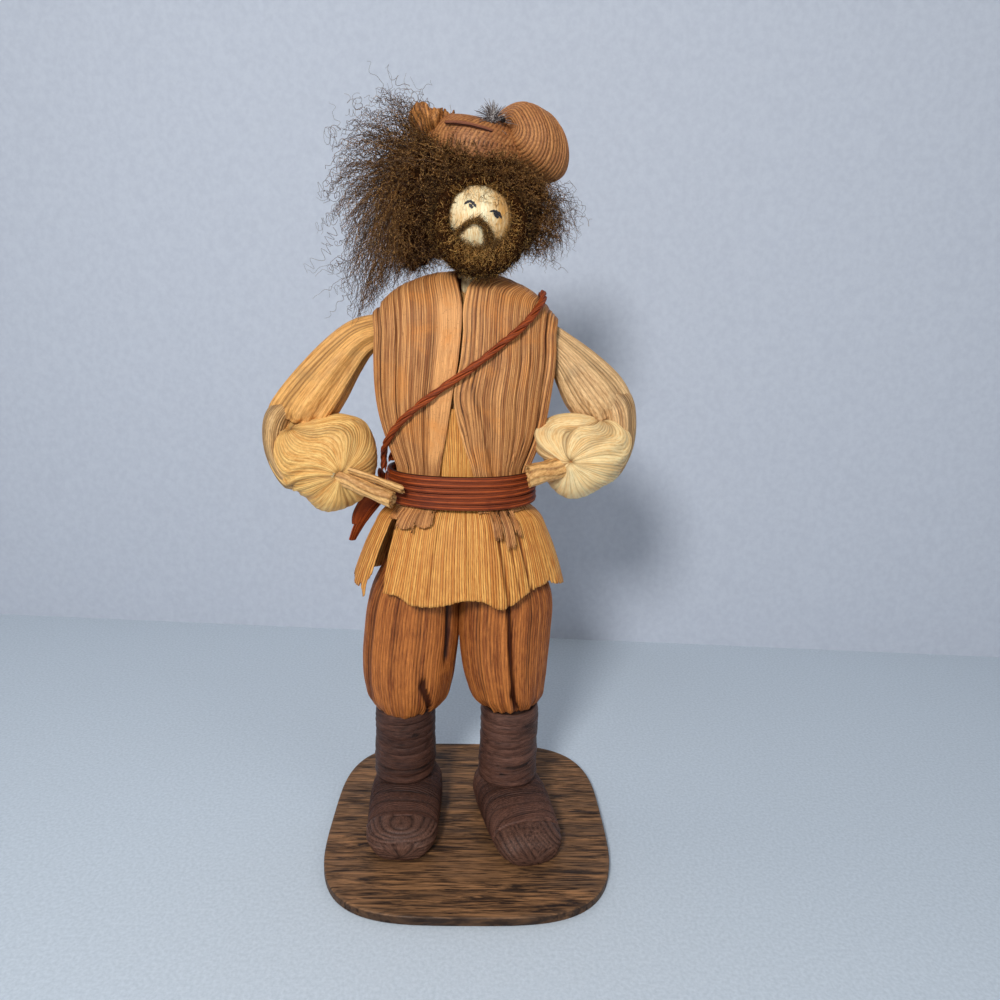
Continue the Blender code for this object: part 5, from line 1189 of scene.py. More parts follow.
def makeElbow(side, finishes):
    rows, seed = elbowRows[side], elbows[side]["seed"]

    def form(u, v):
        outerX, outerZ, innerX, innerZ, middleY, deep = (readEven(rows, place, v) for place in range(6))
        ends = tapered(v, 0.10) ** 0.6
        x, y = oval(1.0, 1.0, tau * u, 2.0)
        outer, inner = np.stack([outerX, 0 * v, outerZ], -1), np.stack([innerX, 0 * v, innerZ], -1)
        spots = ((outer + inner) / 2 + (outer - inner) / 2 * (x * ends)[..., None]
                 + np.array([0, 1.0, 0]) * (middleY + y * deep * ends)[..., None])
        high, groove, tone = ribs(u, v, elbows["ribs"], seed, wrapped=True)
        flutes = waves(u + 0.02 * v, seed + 1, 8, True)
        height = (0.26 * high + 0.5 * flutes) * ends
        # painted shade in the flutes' troughs
        return spots, height, np.clip(groove * 0.8 + 0.4 * np.clip(-flutes, 0, 1), 0, 1), tone

    piece = husk(side + "_elbow_fold", elbows["ribs"] * 4, 42, form, finishes[elbows[side]["finish"]],
                 wrapped=True)
    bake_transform(piece)


hands = {
    "right": {"wrist": (-36.5, -14.0, 128.2), "tip": (-20.7, -16.6, 122.2), "radius": 2.65},
    "left": {"wrist": (32.8, -16.0, 134.3), "tip": (20.4, -18.4, 130.9), "radius": 3.5},
    "pocket": 4.0, "stripRadius": 1.2,
}


def rolledHusk(name, first, last, radius, turns, finish, seed):
    # a sheet rolled up on itself, with an open ragged end
    first, last = np.array(first, float), np.array(last, float)
    axis = unit(last - first)
    beside = unit(np.cross(axis, np.array([0, 0, 1.0])))
    over = np.cross(beside, axis)
    length = np.linalg.norm(last - first)

    def form(u, v):
        chance = np.random.RandomState(seed)
        turn = tau * turns * u + 0.9
        out = radius * (1.0 - 0.62 * (1 - u)) + 0.05 * radius * waves(v, seed, 3)
        rag = chance.uniform(-1, 1, 40)[np.clip((u * 39).astype(int), 0, 39)]
        end = length * (1 - 0.05 * (1 - u)) + 0.45 * rag + 0.5 * waves(u, seed + 2, 5)
        flare = 1 + 0.10 * np.clip(v - 0.7, 0, 1) / 0.3
        ring = beside * np.cos(turn)[..., None] + over * np.sin(turn)[..., None]
        spots = first + axis * (v * end)[..., None] + ring * (out * flare)[..., None]
        high, groove, tone = ribs(u, v, int(10 * turns), seed)
        return spots, 0.16 * high, groove * 0.8, tone

    return husk(name, int(60 * turns), 26, form, finish, wall=0.28)


def makeHand(side, finishes):
    shape = hands[side]
    wrist, tip = np.array(shape["wrist"]), np.array(shape["tip"])
    axis = unit(tip - wrist)
    start = wrist - axis * hands["pocket"]
    piece = rolledHusk(side + "_rolled_hand", start, tip + axis * 0.3, shape["radius"] * 0.96, 3.0,
                       finishes["straw"], 351)
    settle(piece, side + "_forearm", "straw_husk", side + "_hand_roll")
    if side == "right":
        beside = unit(np.cross(axis, np.array([0, 0, 1.0])))
        over = np.cross(beside, axis)
        lift = over * (shape["radius"] + hands["stripRadius"] + 0.2)
        piece = rolledHusk("right_hand_second_roll", start + axis * 3.6 + lift * 0.75,
                           tip + lift * 1.05 + axis * 1.8, hands["stripRadius"], 2.0, finishes["straw"], 357)
        settle(piece, side + "_forearm", "straw_husk", "right_hand_strip")


# The head: a husk ball on its neck, painted eyes, moustache and beard

head = {"middle": (2.8, -4.0, 204.5), "radius": 11.5, "neckRadius": 4.0, "neckBottom": 183.2,
        "neckShare": 0.16, "ribs": 64}


def headSpot(x, z, out=0.0):
    # a place on the face at x and z
    cx, cy, cz = head["middle"]
    radius = head["radius"] + out
    y = cy - np.sqrt(np.maximum(radius ** 2 - (x - cx) ** 2 - (z - cz) ** 2, 0.01))
    return np.stack([np.asarray(x, float) + 0 * y, y, np.asarray(z, float) + 0 * y], -1)


def makeHead(finishes):
    cx, cy, cz = head["middle"]
    radius, neckShare = head["radius"], head["neckShare"]

    def form(u, v):
        bend = np.clip((v - neckShare) / (1 - neckShare), 0, 1)
        join = math.asin(head["neckRadius"] / radius)
        polar = math.pi - join - (math.pi - join) * bend
        neck = v < neckShare
        ring = np.where(neck, head["neckRadius"] * np.clip(v / 0.015, 0, 1), radius * np.sin(polar))
        neckTop = cz + radius * math.cos(math.pi - join)
        z = np.where(neck, head["neckBottom"] + (neckTop - head["neckBottom"]) * v / neckShare,
                     cz + radius * np.cos(polar))
        angle = tau * u
        spots = np.stack([cx + ring * np.cos(angle), cy + ring * np.sin(angle), z], -1)
        high, groove, tone = ribs(u, v, head["ribs"], 401, wrapped=True, even=0.1)
        cracks = ripple(spots * np.array([1.0, 1.0, 0.6]), 3.0, 403, 9)
        crack = np.exp(-(cracks / 0.10) ** 2) * window(z, cz - 3, cz + 12, 3)
        puckers = waves(u, 405, 11, True)
        ease = np.clip(ring / 4.0, 0, 1)
        height = (0.10 * high + 0.14 * puckers - 0.10 * crack) * ease
        # painted shade: the side at the doll's left is darker, where the hair's shadow falls
        shaded = np.clip((ring * np.cos(angle) - 2.5) / 5, 0, 1)
        return (spots, height, np.clip(groove * 0.30 + 0.30 * crack + 0.16 * shaded, 0, 1),
                np.clip(0.55 + 0.45 * tone - 0.75 * shaded, 0, 1))

    piece = husk("husk_head", head["ribs"] * 4, 86, form, finishes["face"], wrapped=True)
    settle(piece, "head", "cream_husk", "head_husk")


eyeStrokes = [  # x, z and half width along each painted stroke
    [(-0.9, 207.9, 0.10), (0.1, 208.6, 0.24), (1.1, 208.8, 0.26), (2.0, 208.1, 0.34), (2.8, 207.1, 0.14)],
    [(0.6, 208.2, 0.12), (1.3, 207.4, 0.34), (1.8, 206.9, 0.16)],
    [(6.5, 206.2, 0.08), (7.4, 206.5, 0.18), (8.5, 206.4, 0.30), (9.6, 205.5, 0.30), (10.0, 204.6, 0.10)],
    [(7.6, 206.1, 0.12), (8.4, 205.4, 0.36), (9.1, 204.7, 0.20)],
]


def makeEyes(finishes):
    for number, stroke in enumerate(eyeStrokes):
        def form(u, v):
            t = v[:, 0]
            x, z, half = (readEven(stroke, place, t) for place in range(3))
            half = 1.45 * half * (1 + 0.3 * waves(t, 421 + number, 8))
            aheadX, aheadZ = np.gradient(x), np.gradient(z)
            size = np.hypot(aheadX, aheadZ)
            a, b = oval(half[:, None], 0.09, tau * u, 2.0)
            px = x[:, None] - a * (aheadZ / size)[:, None]
            pz = z[:, None] + a * (aheadX / size)[:, None]
            ends = tapered(v, 1 / 12)
            return drawnIn(headSpot(px, pz, 0.14 + b * ends), ends), 0 * u, 0 * u, 0 * u + 0.5

        piece = husk("eye_stroke_" + str(number + 1), 12, 30, form, finishes["eye"], wrapped=True)
        settle(piece, "head", "cream_husk")


# Hair: dark matted cores under thousands of kinky hairs

def curls(roots, aims, length, coil, turns, points, seed):
    # kinky hairs from roots along aims, each with its own length, coil and wander
    drift = 0.25
    chance = np.random.RandomState(seed)
    count = len(roots)
    t = np.linspace(0, 1, points)[None, :, None]
    aims = unit(aims)
    side = unit(np.cross(aims, unit(chance.normal(size=(count, 3)))))
    up = np.cross(aims, side)
    long = (length * chance.uniform(0.6, 1.4, count))[:, None, None]
    tight = (coil * chance.uniform(0.5, 1.5, count))[:, None, None]
    flat = t[..., 0]
    phase = tau * (turns * chance.uniform(0.6, 1.4, (count, 1)) * flat + chance.uniform(0, 1, (count, 1)))
    phase = phase + 1.2 * np.sin(tau * (1.7 * flat + chance.uniform(0, 1, (count, 1))))
    bend = unit(chance.normal(size=(count, 1, 3))) * long * drift
    lines = roots[:, None] + aims[:, None] * long * t + bend * (t ** 2)
    coiled = side[:, None] * np.cos(phase)[..., None] + up[:, None] * np.sin(phase)[..., None]
    return lines + coiled * tight


def ballSpots(count, middle, half, chance, low, high):
    ways = unit(chance.normal(size=(count, 3)))
    return np.array(middle) + ways * np.array(half) * chance.uniform(low, high, (count, 1)), ways


def hairPiece(name, roots, ways, finish, nodes=(), *, length, points, seed, radius, coil=0.45, turns=3.5,
              lift=0.4, bright=0.55, paintedLight=0.0):
    chance = np.random.RandomState(seed)
    count = len(roots)
    aims = unit(ways * lift + unit(chance.normal(size=(count, 3))) * 1.0)
    lines = curls(roots, aims, length, coil, turns, points, seed + 1)
    taper = np.linspace(1, 0.45, points)[None] * chance.uniform(0.7, 1.2, (count, 1)) * radius
    # paintedLight adds to each hair's tone as painted light and shade
    tones = np.clip(chance.beta(1.0, 2.0, count) + (bright - 0.5) + paintedLight, 0, 1)
    settle(strands(name, lines, taper, tones, finish), "head", "brown_hair", *nodes)


def matted(name, columns, rows, form, finish, rough, seed, *nodes):
    # a lumpy dark core
    def shape(u, v):
        spots = form(u, v)
        height = rough * (ripple(spots, 3.2, seed, 9) + 0.6 * ripple(spots, 1.4, seed + 1, 9))
        return spots, height, 0 * u, 0.5 + 0 * u

    settle(husk(name, columns, rows, shape, finish, wrapped=True), "head", "brown_hair", *nodes)


def tresses(name, starts, firstPulls, lastPulls, ends, finish, seed, *, points, radius, kink=0.5, wave=2.6,
            bright=0.5):
    # long crimped hairs along curves from starts to ends
    chance = np.random.RandomState(seed)
    count = len(starts)
    t = np.linspace(0, 1, points)[None, :, None]
    lines = (starts[:, None] * (1 - t) ** 3 + 3 * firstPulls[:, None] * (1 - t) ** 2 * t
             + 3 * lastPulls[:, None] * (1 - t) * t ** 2 + ends[:, None] * t ** 3)
    length = np.linalg.norm(np.diff(lines, axis=1), axis=-1).sum(1)[:, None]
    ahead = unit(np.gradient(lines, axis=1))
    side = unit(np.cross(ahead, unit(chance.normal(size=(count, 1, 3)))))
    up = np.cross(ahead, side)
    flat = t[..., 0]
    phase = tau * (length / wave * chance.uniform(0.75, 1.3, (count, 1)) * flat
                   + chance.uniform(0, 1, (count, 1)))
    phase = phase + 1.4 * np.sin(tau * (2.7 * flat + chance.uniform(0, 1, (count, 1))))
    size = kink * chance.uniform(0.6, 1.4, (count, 1)) * (0.35 + 0.65 * np.clip(flat * 3, 0, 1))
    drift = 1.3 * np.sin(tau * (1.3 * flat + chance.uniform(0, 1, (count, 1)))) * flat
    lines = (lines + side * (size * np.cos(phase) + drift)[..., None]
             + up * (size * np.sin(phase * 0.83))[..., None])
    radii = radius * np.linspace(1.1, 0.6, points)[None] * chance.uniform(0.7, 1.2, (count, 1))
    tones = np.clip(chance.beta(1.3, 2.0, count) + (bright - 0.5), 0, 1)
    settle(strands(name, lines, radii, tones, finish), "head", "brown_hair")


hairMasses = {
    "cap": {"middle": (2.8, 2.0, 208.2), "half": (18.6, 15.0, 15.3)},
    "left": {"middle": (20.0, 3.0, 206.0), "half": (10.5, 9.0, 10.8)},
    "fringe": {"middle": (7.2, -6.2, 218.2), "half": (17.0, 5.0, 5.6), "lean": 19.5},
}
rightCore = [  # height, outer x, inner x, half depth of the dense part
    (190.5, -21.0, -13.0, 3.0), (197.0, -22.5, -8.0, 8.0), (205.0, -23.0, -4.0, 10.5),
    (215.0, -22.0, -3.0, 11.0), (224.0, -19.5, -4.0, 9.5), (231.0, -15.5, -8.0, 5.5),
]
rightFan = [  # the loose mass's outline, x and z, from its top round to under the jaw
    (-15.0, 238.3), (-26.0, 239.3), (-33.5, 233.0), (-39.8, 225.0), (-42.0, 214.0), (-40.5, 205.0),
    (-37.5, 193.0), (-37.2, 181.0), (-34.5, 173.5), (-28.0, 180.5), (-20.0, 186.0), (-13.5, 190.5),
]
strayRoots = [
    (-40, 0, 214), (-39, 3, 207), (-38, 0, 228), (-33, 2, 236), (-25, 0, 237), (-21, 3, 238), (-17, 1, 238),
    (-13, 2, 237), (-36, 4, 186), (-38, 3, 190), (-40, 1, 200), (-39, 2, 194), (24, 1, 198), (29, 2, 206),
]


def capForm(u, v):
    # the cap of hair, open in front for the face
    cx, cy, cz = hairMasses["cap"]["middle"]
    hx, hy, hz = (size - 1.2 for size in hairMasses["cap"]["half"])
    polar = np.pi * v
    angle = tau * u
    x, y, z = hx * np.sin(polar) * np.cos(angle), hy * np.sin(polar) * np.sin(angle), -hz * np.cos(polar)
    hollow = window(np.hypot(x / 9.8, (z + 4.5) / 11.5), -1, 0.8, 0.35) * (y < 0)
    return np.stack([cx + x, cy + y + hollow * (12.5 - np.abs(y) * 0.2), cz + z], -1)


def leaning(ways, mass, shrink=0.0):
    half = np.array(mass["half"]) - shrink
    return np.array(mass["middle"]) + (ways * half) @ leanTurn(mass["lean"]).T


def ballWays(u, v):
    polar, angle = np.pi * v, tau * u
    return np.stack([np.sin(polar) * np.cos(angle), np.sin(polar) * np.sin(angle), -np.cos(polar)], -1)


def makeHair(finishes):
    say("hair")
    chance = np.random.RandomState(501)
    matted("hair_cap_core", 120, 70, capForm, finishes["hairCore"], 0.35, 511, "hair_cap")
    cap = hairMasses["cap"]
    roots, ways = ballSpots(4600, cap["middle"], cap["half"], chance, 0.84, 1.0)
    cx, cy, cz = head["middle"]
    off = np.hypot((roots[:, 0] - cx) / 9.9, (roots[:, 2] - cz - 0.2) / 10.4)
    deep, tall = roots[:, 1], roots[:, 2]
    face = (deep < -7.0) & (off < 1.0) | (deep < -9.0) & (off < 1.42) & (tall < 208)
    hidden = (tall < 196.0) & (deep > -9) | (tall > 217) & (deep > -6)
    keep = ~face & ~hidden
    # painted shade: front cap curls in a ring just outside the face and beard are darker
    shade = -0.5 * window(off, 1.2, 1.65, 0.25) * (roots[:, 1] < 0)
    hairPiece("hair_cap_curls", roots[keep], ways[keep], finishes["hair"], length=4.6, points=9, seed=521,
              radius=0.11, paintedLight=shade[keep])

    # short curls behind the beard, over the sides of the head, painted a little darker as shade
    roots, ways = ballSpots(1900, head["middle"], [head["radius"] + 0.3] * 3, np.random.RandomState(583),
                            0.98, 1.03)
    keep = (roots[:, 1] > -9.6) & (roots[:, 2] > 193.0) & (roots[:, 2] < 213.0)
    hairPiece("side_curls", roots[keep], ways[keep], finishes["hair"], length=3.8, points=9, seed=585,
              radius=0.12, paintedLight=-0.12)

    fringe = hairMasses["fringe"]
    matted("hair_fringe_core", 80, 40, lambda u, v: leaning(ballWays(u, v), fringe, 1.0),
           finishes["hairCore"], 0.4, 525)
    ways = unit(chance.normal(size=(2000, 3)) * np.array([1, 1, 0.9]))
    ways = ways[ways[:, 1] < 0.2]
    roots = leaning(ways * chance.uniform(0.85, 1.0, (len(ways), 1)), fringe)
    hairPiece("hair_fringe_curls", roots, ways, finishes["hair"], length=4.0, points=9, seed=527, radius=0.11,
              lift=0.25)

    def rightForm(u, v):
        low, high = rightCore[0][0], rightCore[-1][0]
        z = low + (high - low) * v
        outer, inner, deep = (read(rightCore, place, z) for place in (1, 2, 3))
        outer, deep, ends = outer + 1.5, deep - 1.5, tapered(v, 0.15) ** 0.5
        x, y = oval((inner - outer) / 2 * ends, deep * ends, tau * u, 2.0)
        return np.stack([(inner + outer) / 2 + x, 2.0 + y, z], -1)

    matted("hair_right_core", 80, 60, rightForm, finishes["hairCore"], 0.7, 531, "hair_right")
    spots = rightForm(chance.uniform(0, 1, 2300), chance.uniform(0.03, 0.97, 2300))
    middles = np.stack([np.full(len(spots), -13.0), np.full(len(spots), 2.0), spots[:, 2]], -1)
    roots = spots + unit(spots - middles) * chance.uniform(-0.5, 1.6, (len(spots), 1))
    # painted shade: curls towards the face and beard, in front and low, are darker
    shade = -0.55 * np.clip((roots[:, 0] + 19) / 5, 0, 1) * (roots[:, 1] < 2) * (roots[:, 2] < 216)
    hairPiece("hair_right_curls", roots, unit(spots - middles) + np.array([0, 0, -0.2]), finishes["hair"],
              length=6.0, coil=0.5, points=11, seed=541, radius=0.11, paintedLight=shade)

    def fan(count, seed, low, high, deepest):
        rand = np.random.RandomState(seed)
        share = rand.uniform(0, 1, count)
        flat = np.array([(x, 0, z) for x, z in rightFan], float)
        edge = route(flat, share)
        heart = np.array([-11.0, 0.0, 211.0])
        ends = heart + (edge - heart) * rand.uniform(low, high, (count, 1))
        ends[:, 1] = rand.normal(1.5, deepest, count)
        starts = np.array([-6.5, 1.0, 217.0]) + rand.normal(size=(count, 3)) * np.array([4.2, 4.5, 5.0])
        down = np.clip(share * 1.6, 0, 1)[:, None]
        firstPulls = starts + np.array([-1.0, 0, 0.45]) * rand.uniform(7, 15, (count, 1)) * (0.5 + 0.5 * down)
        lastPulls = ends + np.array([0.10, 0, 1.0]) * rand.uniform(6, 18, (count, 1)) * down
        lastPulls = lastPulls + np.array([0.9, 0, 0.2]) * 7 * (1 - down)
        return starts, firstPulls, lastPulls, ends

    tresses("hair_right_tresses", *fan(540, 545, 0.50, 0.96, 4.6), finishes["hair"], 546, bright=0.55,
            points=34, radius=0.105)
    tresses("hair_right_outer_tresses", *fan(520, 547, 0.72, 1.04, 4.0), finishes["wisp"], 548, kink=0.62,
            wave=3.0, points=34, radius=0.10)

    mass = hairMasses["left"]
    matted("hair_left_core", 60, 40, lambda u, v: np.array(mass["middle"]) + np.array([-3.5, 0, 0])
           + ballWays(u, v) * (np.array(mass["half"]) - 4.2), finishes["hairCore"], 0.5, 561, "hair_left")
    roots, ways = ballSpots(900, mass["middle"], mass["half"], chance, 0.5, 0.9)
    hairPiece("hair_left_curls", roots, ways, finishes["hair"], length=5.0, coil=0.5, points=11, seed=571,
              lift=0.3, radius=0.10)
    count = 150
    starts = np.array([14.0, 2.0, 213.0]) + chance.normal(size=(count, 3)) * np.array([3.5, 4.0, 3.5])
    turn = chance.uniform(-1.15, 0.55, count)
    reach = chance.uniform(9, 17.5, (count, 1))
    ends = np.array([17.5, 3.0, 206.0]) + np.stack([np.cos(turn), chance.normal(0, 0.3, count), np.sin(turn)],
                                                   -1) * reach
    tresses("hair_left_tresses", starts, starts + np.array([7.0, 0, 2.5]), ends + np.array([0.5, 0, 5.0]),
            ends, finishes["wisp"], 575, points=24, radius=0.075)

    # stray curls that stand away from the mass
    starts = np.array(strayRoots, float)
    starts = np.repeat(starts, 3, 0) + chance.normal(size=(len(starts) * 3, 3)) * 1.5
    away = unit(starts - np.array([-12.0, 0, 208])) + np.array([0, 0, -0.25])
    hairPiece("stray_curls", starts, away, finishes["wisp"], length=8.0, coil=1.1, turns=2.6, points=34,
              seed=581, radius=0.08, lift=1.1)


moustacheArc = [  # x, z and thickness, round the chin patch
    (-4.0, 197.6, 1.8), (-3.4, 199.4, 1.3), (-1.7, 201.1, 1.0), (0.4, 202.7, 0.9), (2.8, 203.5, 1.05),
    (4.9, 202.3, 1.5), (6.2, 200.3, 1.9), (6.8, 198.2, 2.0), (6.5, 196.6, 1.7),
]


def makeBeard(finishes):
    cx, cy, cz = head["middle"]

    def ringSpots(turn):
        # the beard's roll round the face, thick at the chin and thin at the brow
        chin = ((1 - np.sin(turn)) / 2) ** 1.4
        thick = 1.9 + 2.6 * chin
        flatX = 11.5 * np.cos(turn) + 1.2
        flatZ = 11.6 * np.sin(turn) - 0.6
        away = head["radius"] + 0.3 + thick
        y = -np.sqrt(np.maximum(away ** 2 - flatX ** 2 - flatZ ** 2, 5.0))
        return np.stack([cx + flatX, cy + y + 1.2, cz + flatZ], -1), thick

    def form(u, v):
        turn = tau * v
        middle, thick = ringSpots(turn)
        out = unit(np.stack([np.cos(turn), 0 * turn, np.sin(turn)], -1))
        thick = thick - 0.5
        return (middle + out * (thick * np.cos(tau * u))[..., None]
                + np.array([0, -1.0, 0]) * (thick * np.sin(tau * u))[..., None])

    clearSelection()
    bpy.ops.mesh.primitive_torus_add(major_segments=110, minor_segments=26, major_radius=1, minor_radius=0.3)
    piece = bpy.context.object
    piece.name = piece.data.name = "beard_core"
    seen = np.array([vertex.co for vertex in piece.data.vertices])
    turn = np.arctan2(seen[:, 1], seen[:, 0])
    u = np.arctan2(seen[:, 2], np.hypot(seen[:, 0], seen[:, 1]) - 1) / tau
    spots = form(u, turn / tau)
    spots = spots + unit(spots - ringSpots(turn)[0]) * (0.25 * ripple(spots, 2.4, 591, 9))[:, None]
    piece.data.vertices.foreach_set("co", ((spots + stand) * mm).astype(np.float32).ravel())
    edit(piece, facesOut)
    choose(piece)
    bpy.ops.object.shade_smooth()
    piece.data.materials.append(finishes["hairCore"])
    settle(piece, "head", "brown_hair", "beard_ring")

    chance = np.random.RandomState(601)
    count = 4000
    turn = np.where(chance.uniform(size=count) < 0.72, chance.normal(-math.pi / 2, 0.85, count),
                    chance.uniform(0, tau, count))
    around = chance.uniform(0, tau, count)
    roots = form(around / tau, turn / tau)
    ways = unit(roots - ringSpots(turn)[0])
    keep = ways[:, 1] < 0.6
    # painted highlight along the roll's front and painted shade at its edges
    paintedLight = 1.9 * np.clip(-ways[:, 1] - 0.5, 0, 1) ** 1.3 - 0.36
    ways = unit(form(around / tau + 0.02, turn / tau) - roots) + 0.15 * ways
    hairPiece("beard_curls", roots[keep], ways[keep], finishes["beard"], length=2.2, coil=0.20, turns=3,
              points=7, seed=611, radius=0.08, lift=1.1, bright=0.5, paintedLight=paintedLight[keep])

    t = np.linspace(0, 1, 60)
    x, z, thick = (readEven(moustacheArc, place, t) for place in range(3))
    line = headSpot(x, z, 0.5)
    count = 1300
    pick = chance.randint(0, 60, count)
    away = unit(chance.normal(size=(count, 3)))
    roots = line[pick] + away * (thick[pick] * chance.uniform(0.2, 0.9, count))[:, None]
    ways = np.stack([np.gradient(x)[pick] * 4, 0 * pick - 0.1, np.gradient(z)[pick] * 4], -1)
    keep = roots[:, 1] < line[pick][:, 1] + 0.4
    hairPiece("moustache_hairs", roots[keep], ways[keep], finishes["beard"], ("moustache",), length=2.2,
              coil=0.2, turns=2, points=8, seed=621, radius=0.07, lift=1.3, bright=0.42)

    # a few loose hairs over the brow
    chanceX = chance.uniform(-6, 12, 90)
    chanceZ = 210.5 + chance.uniform(-1.5, 3.5, 90) - 0.22 * (chanceX - 2.8)
    roots = headSpot(chanceX, chanceZ, 0.5)
    ways = np.stack([chance.normal(size=90), 0 * chanceX, chance.normal(size=90) * 0.8], -1)
    hairPiece("brow_hairs", roots, ways, finishes["beard"], length=3.6, coil=0.3, turns=1.6, points=14,
              seed=631, radius=0.045, lift=1.2)


# The hat: ribbed puff at the doll's left, crown with its band, ragged flap at its right

hat = {
    "puff": {"middle": (19.0, 2.6, 228.4), "half": (12.6, 12.2, 8.7), "lean": 40.0,
             "pinch": (-8.8, -9.6, 2.8), "ribs": 33},
    "crown": {"middle": (3.0, 3.2, 225.4), "half": (16.0, 13.4, 8.4), "pleats": 74},
    "flap": {"middle": (-10.2, 0.6, 231.2), "half": (6.6, 7.6, 5.6), "ribs": 38},
    "band": [(-7.0, -8.3, 230.6), (-2.6, -9.8, 230.3), (1.0, -10.3, 229.7), (4.0, -10.3, 229.1),
             (7.0, -9.6, 228.4)],
}


def ridged(lines):
    # the number of each rib and its rounded height
    rib = np.floor(lines).astype(int)
    return rib, np.sin(np.pi * (lines - rib)) ** 0.6


def makeHat(finishes):
    say("hat")
    shape, crownShape = hat["puff"], hat["crown"]
    turn = leanTurn(shape["lean"])
    pole = unit(turn @ ((turn.T @ np.array(shape["pinch"])) / np.array(shape["half"])))
    side = unit(np.cross(pole, np.array([0, 0, 1.0])))
    up = np.cross(side, pole)

    def puff(u, v):
        polar = np.pi * v
        angle = tau * u
        way = (pole * np.cos(polar)[..., None] + side * (np.sin(polar) * np.cos(angle))[..., None]
               + up * (np.sin(polar) * np.sin(angle))[..., None])
        spots = np.array(shape["middle"]) + ((way @ turn) * np.array(shape["half"])) @ turn.T
        wander = 0.30 * waves(u, 701, 5, True) + 0.25 * waves(v, 703, 4)
        rib, ridge = ridged(v ** 0.9 * shape["ribs"] + wander)
        chance = np.random.RandomState(705)
        strength, tone = (chance.uniform(low, 1.0, 60)[np.clip(rib + 2, 0, 59)] for low in (0.45, 0.2))
        height = (0.55 * ridge * strength + 0.35 * waves(u, 707, 5, True)) * np.clip(np.sin(polar) * 3, 0, 1)
        return spots, height - 1.6 * np.exp(-((v / 0.07) ** 2)), (1 - ridge) * 0.95, tone

    def crown(u, v):
        polar = np.pi * v
        angle = tau * u
        (cx, cy, cz), (hx, hy, hz), pleats = (crownShape[name] for name in ("middle", "half", "pleats"))
        ring = np.sin(polar) ** 0.62
        drop = 0.16 * np.clip(np.cos(angle) * ring * hx, -20, 9)
        spots = np.stack([cx + hx * ring * np.cos(angle), cy + hy * ring * np.sin(angle),
                          cz - hz * power(np.cos(polar), 0.72) - drop * (v > 0.5)], -1)
        rib, ridge = ridged(pleats * u - 17.0 * v)
        tone = np.random.RandomState(711).uniform(0.0, 0.62, pleats)[rib % pleats]
        height = (0.36 * ridge + 0.30 * waves(u, 713, 7, True)) * np.clip(np.sin(polar) * 2, 0, 1)
        return spots, height, (1 - ridge) * 0.9, tone

    def flap(u, v):
        # a gathered ruffle, open and torn at its top
        (cx, cy, cz), (hx, hy, hz) = hat["flap"]["middle"], hat["flap"]["half"]
        angle = tau * u
        torn = np.random.RandomState(721).uniform(-1, 1, 61)[np.clip((u * 60).astype(int), 0, 60) % 60]
        spread = np.sin(np.clip(v * 1.15, 0, 1) * np.pi / 2)
        top = cz + hz * (0.62 + 0.12 * torn + 0.22 * waves(u, 723, 6, True))
        z = cz - hz + (top - cz + hz) * v
        crumple = 1 + 0.13 * waves(u, 725, 9, True) * v
        spots = np.stack([cx + hx * spread * crumple * np.cos(angle) - 0.8 * v,
                          cy + hy * spread * crumple * np.sin(angle), z], -1)
        high, groove, tone = ribs(u, v, hat["flap"]["ribs"], 727, wrapped=True)
        return spots, 0.3 * high + 0.5 * ripple(spots, 4.0, 729), groove, tone

    piece = husk("hat_puff_husk", 110, 186, puff, finishes["hat"], wrapped=True)
    settle(piece, "head", "hat_husk", "hat_puff")
    piece = husk("hat_crown_husk", crownShape["pleats"] * 4, 52, crown, finishes["hat"], wrapped=True)
    settle(piece, "head", "hat_husk", "hat_crown")
    piece = husk("hat_flap_husk", 156, 34, flap, finishes["flap"], wall=0.4)
    settle(piece, "head", "hat_husk", "hat_flap")
    piece = ribbon("hat_seam_band", hat["band"], 1.0, 0.9, finishes["seam"], 0.6, (0, -1, 0.3), 3, 60, 0.7)
    settle(piece, "head", "red_brown_husk", "hat_band")


def makeFeather(finishes):
    chance = np.random.RandomState(741)
    count, points = 130, 12
    t = np.linspace(0, 1, points)[None, :, None]
    root = np.array([6.8, -7.4, 231.8])
    fan = chance.normal(-0.1, 0.75, count)
    ways = unit(np.stack([np.sin(fan), chance.normal(-0.1, 0.25, count), np.cos(fan)], -1))
    long = chance.uniform(2.4, 5.2, count)[:, None, None]
    bend = np.stack([np.sin(fan) * 1.6, 0 * fan, -np.abs(fan) * 0.9], -1)[:, None]
    lines = root + chance.normal(size=(count, 1, 3)) * 0.45 + ways[:, None] * long * t + bend * t ** 2
    radii = np.linspace(0.20, 0.05, points)[None] * np.ones((count, 1))
    piece = strands("feather_barbs", lines, radii, chance.uniform(0, 1, count), finishes["feather"])
    settle(piece, "head", "grey_feather", "feather")


# The nodes that keep their shape: wires, threads and what hides inside

def dressKeptNodes(finishes):
    kept = {"wire": ["right_leg_wire", "left_leg_wire", "shoulder_wire", "neck_wire", "right_upper_arm_wire",
                     "left_upper_arm_wire", "right_forearm_wire", "left_forearm_wire"],
            "thread": ["right_knee_tie", "left_knee_tie", "waist_tie", "right_wrist_tie", "left_wrist_tie",
                       "neck_tie"],
            "bootCore": ["right_boot_core", "left_boot_core"], "core": ["head_core"], "pin": ["hat_pin"]}
    for finish, names in kept.items():
        for name in names:
            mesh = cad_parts[name].data
            mesh.materials.clear()
            mesh.materials.append(finishes[finish])


# The room: floor, wall, lamps and camera

room = {
    "wallLeft": (-0.201, 0.183, 0.0), "wallRight": (0.228, 0.156, 0.0), "wallSpan": 2.4, "wallHeight": 1.2,
    "floorDepth": 1.6,
}


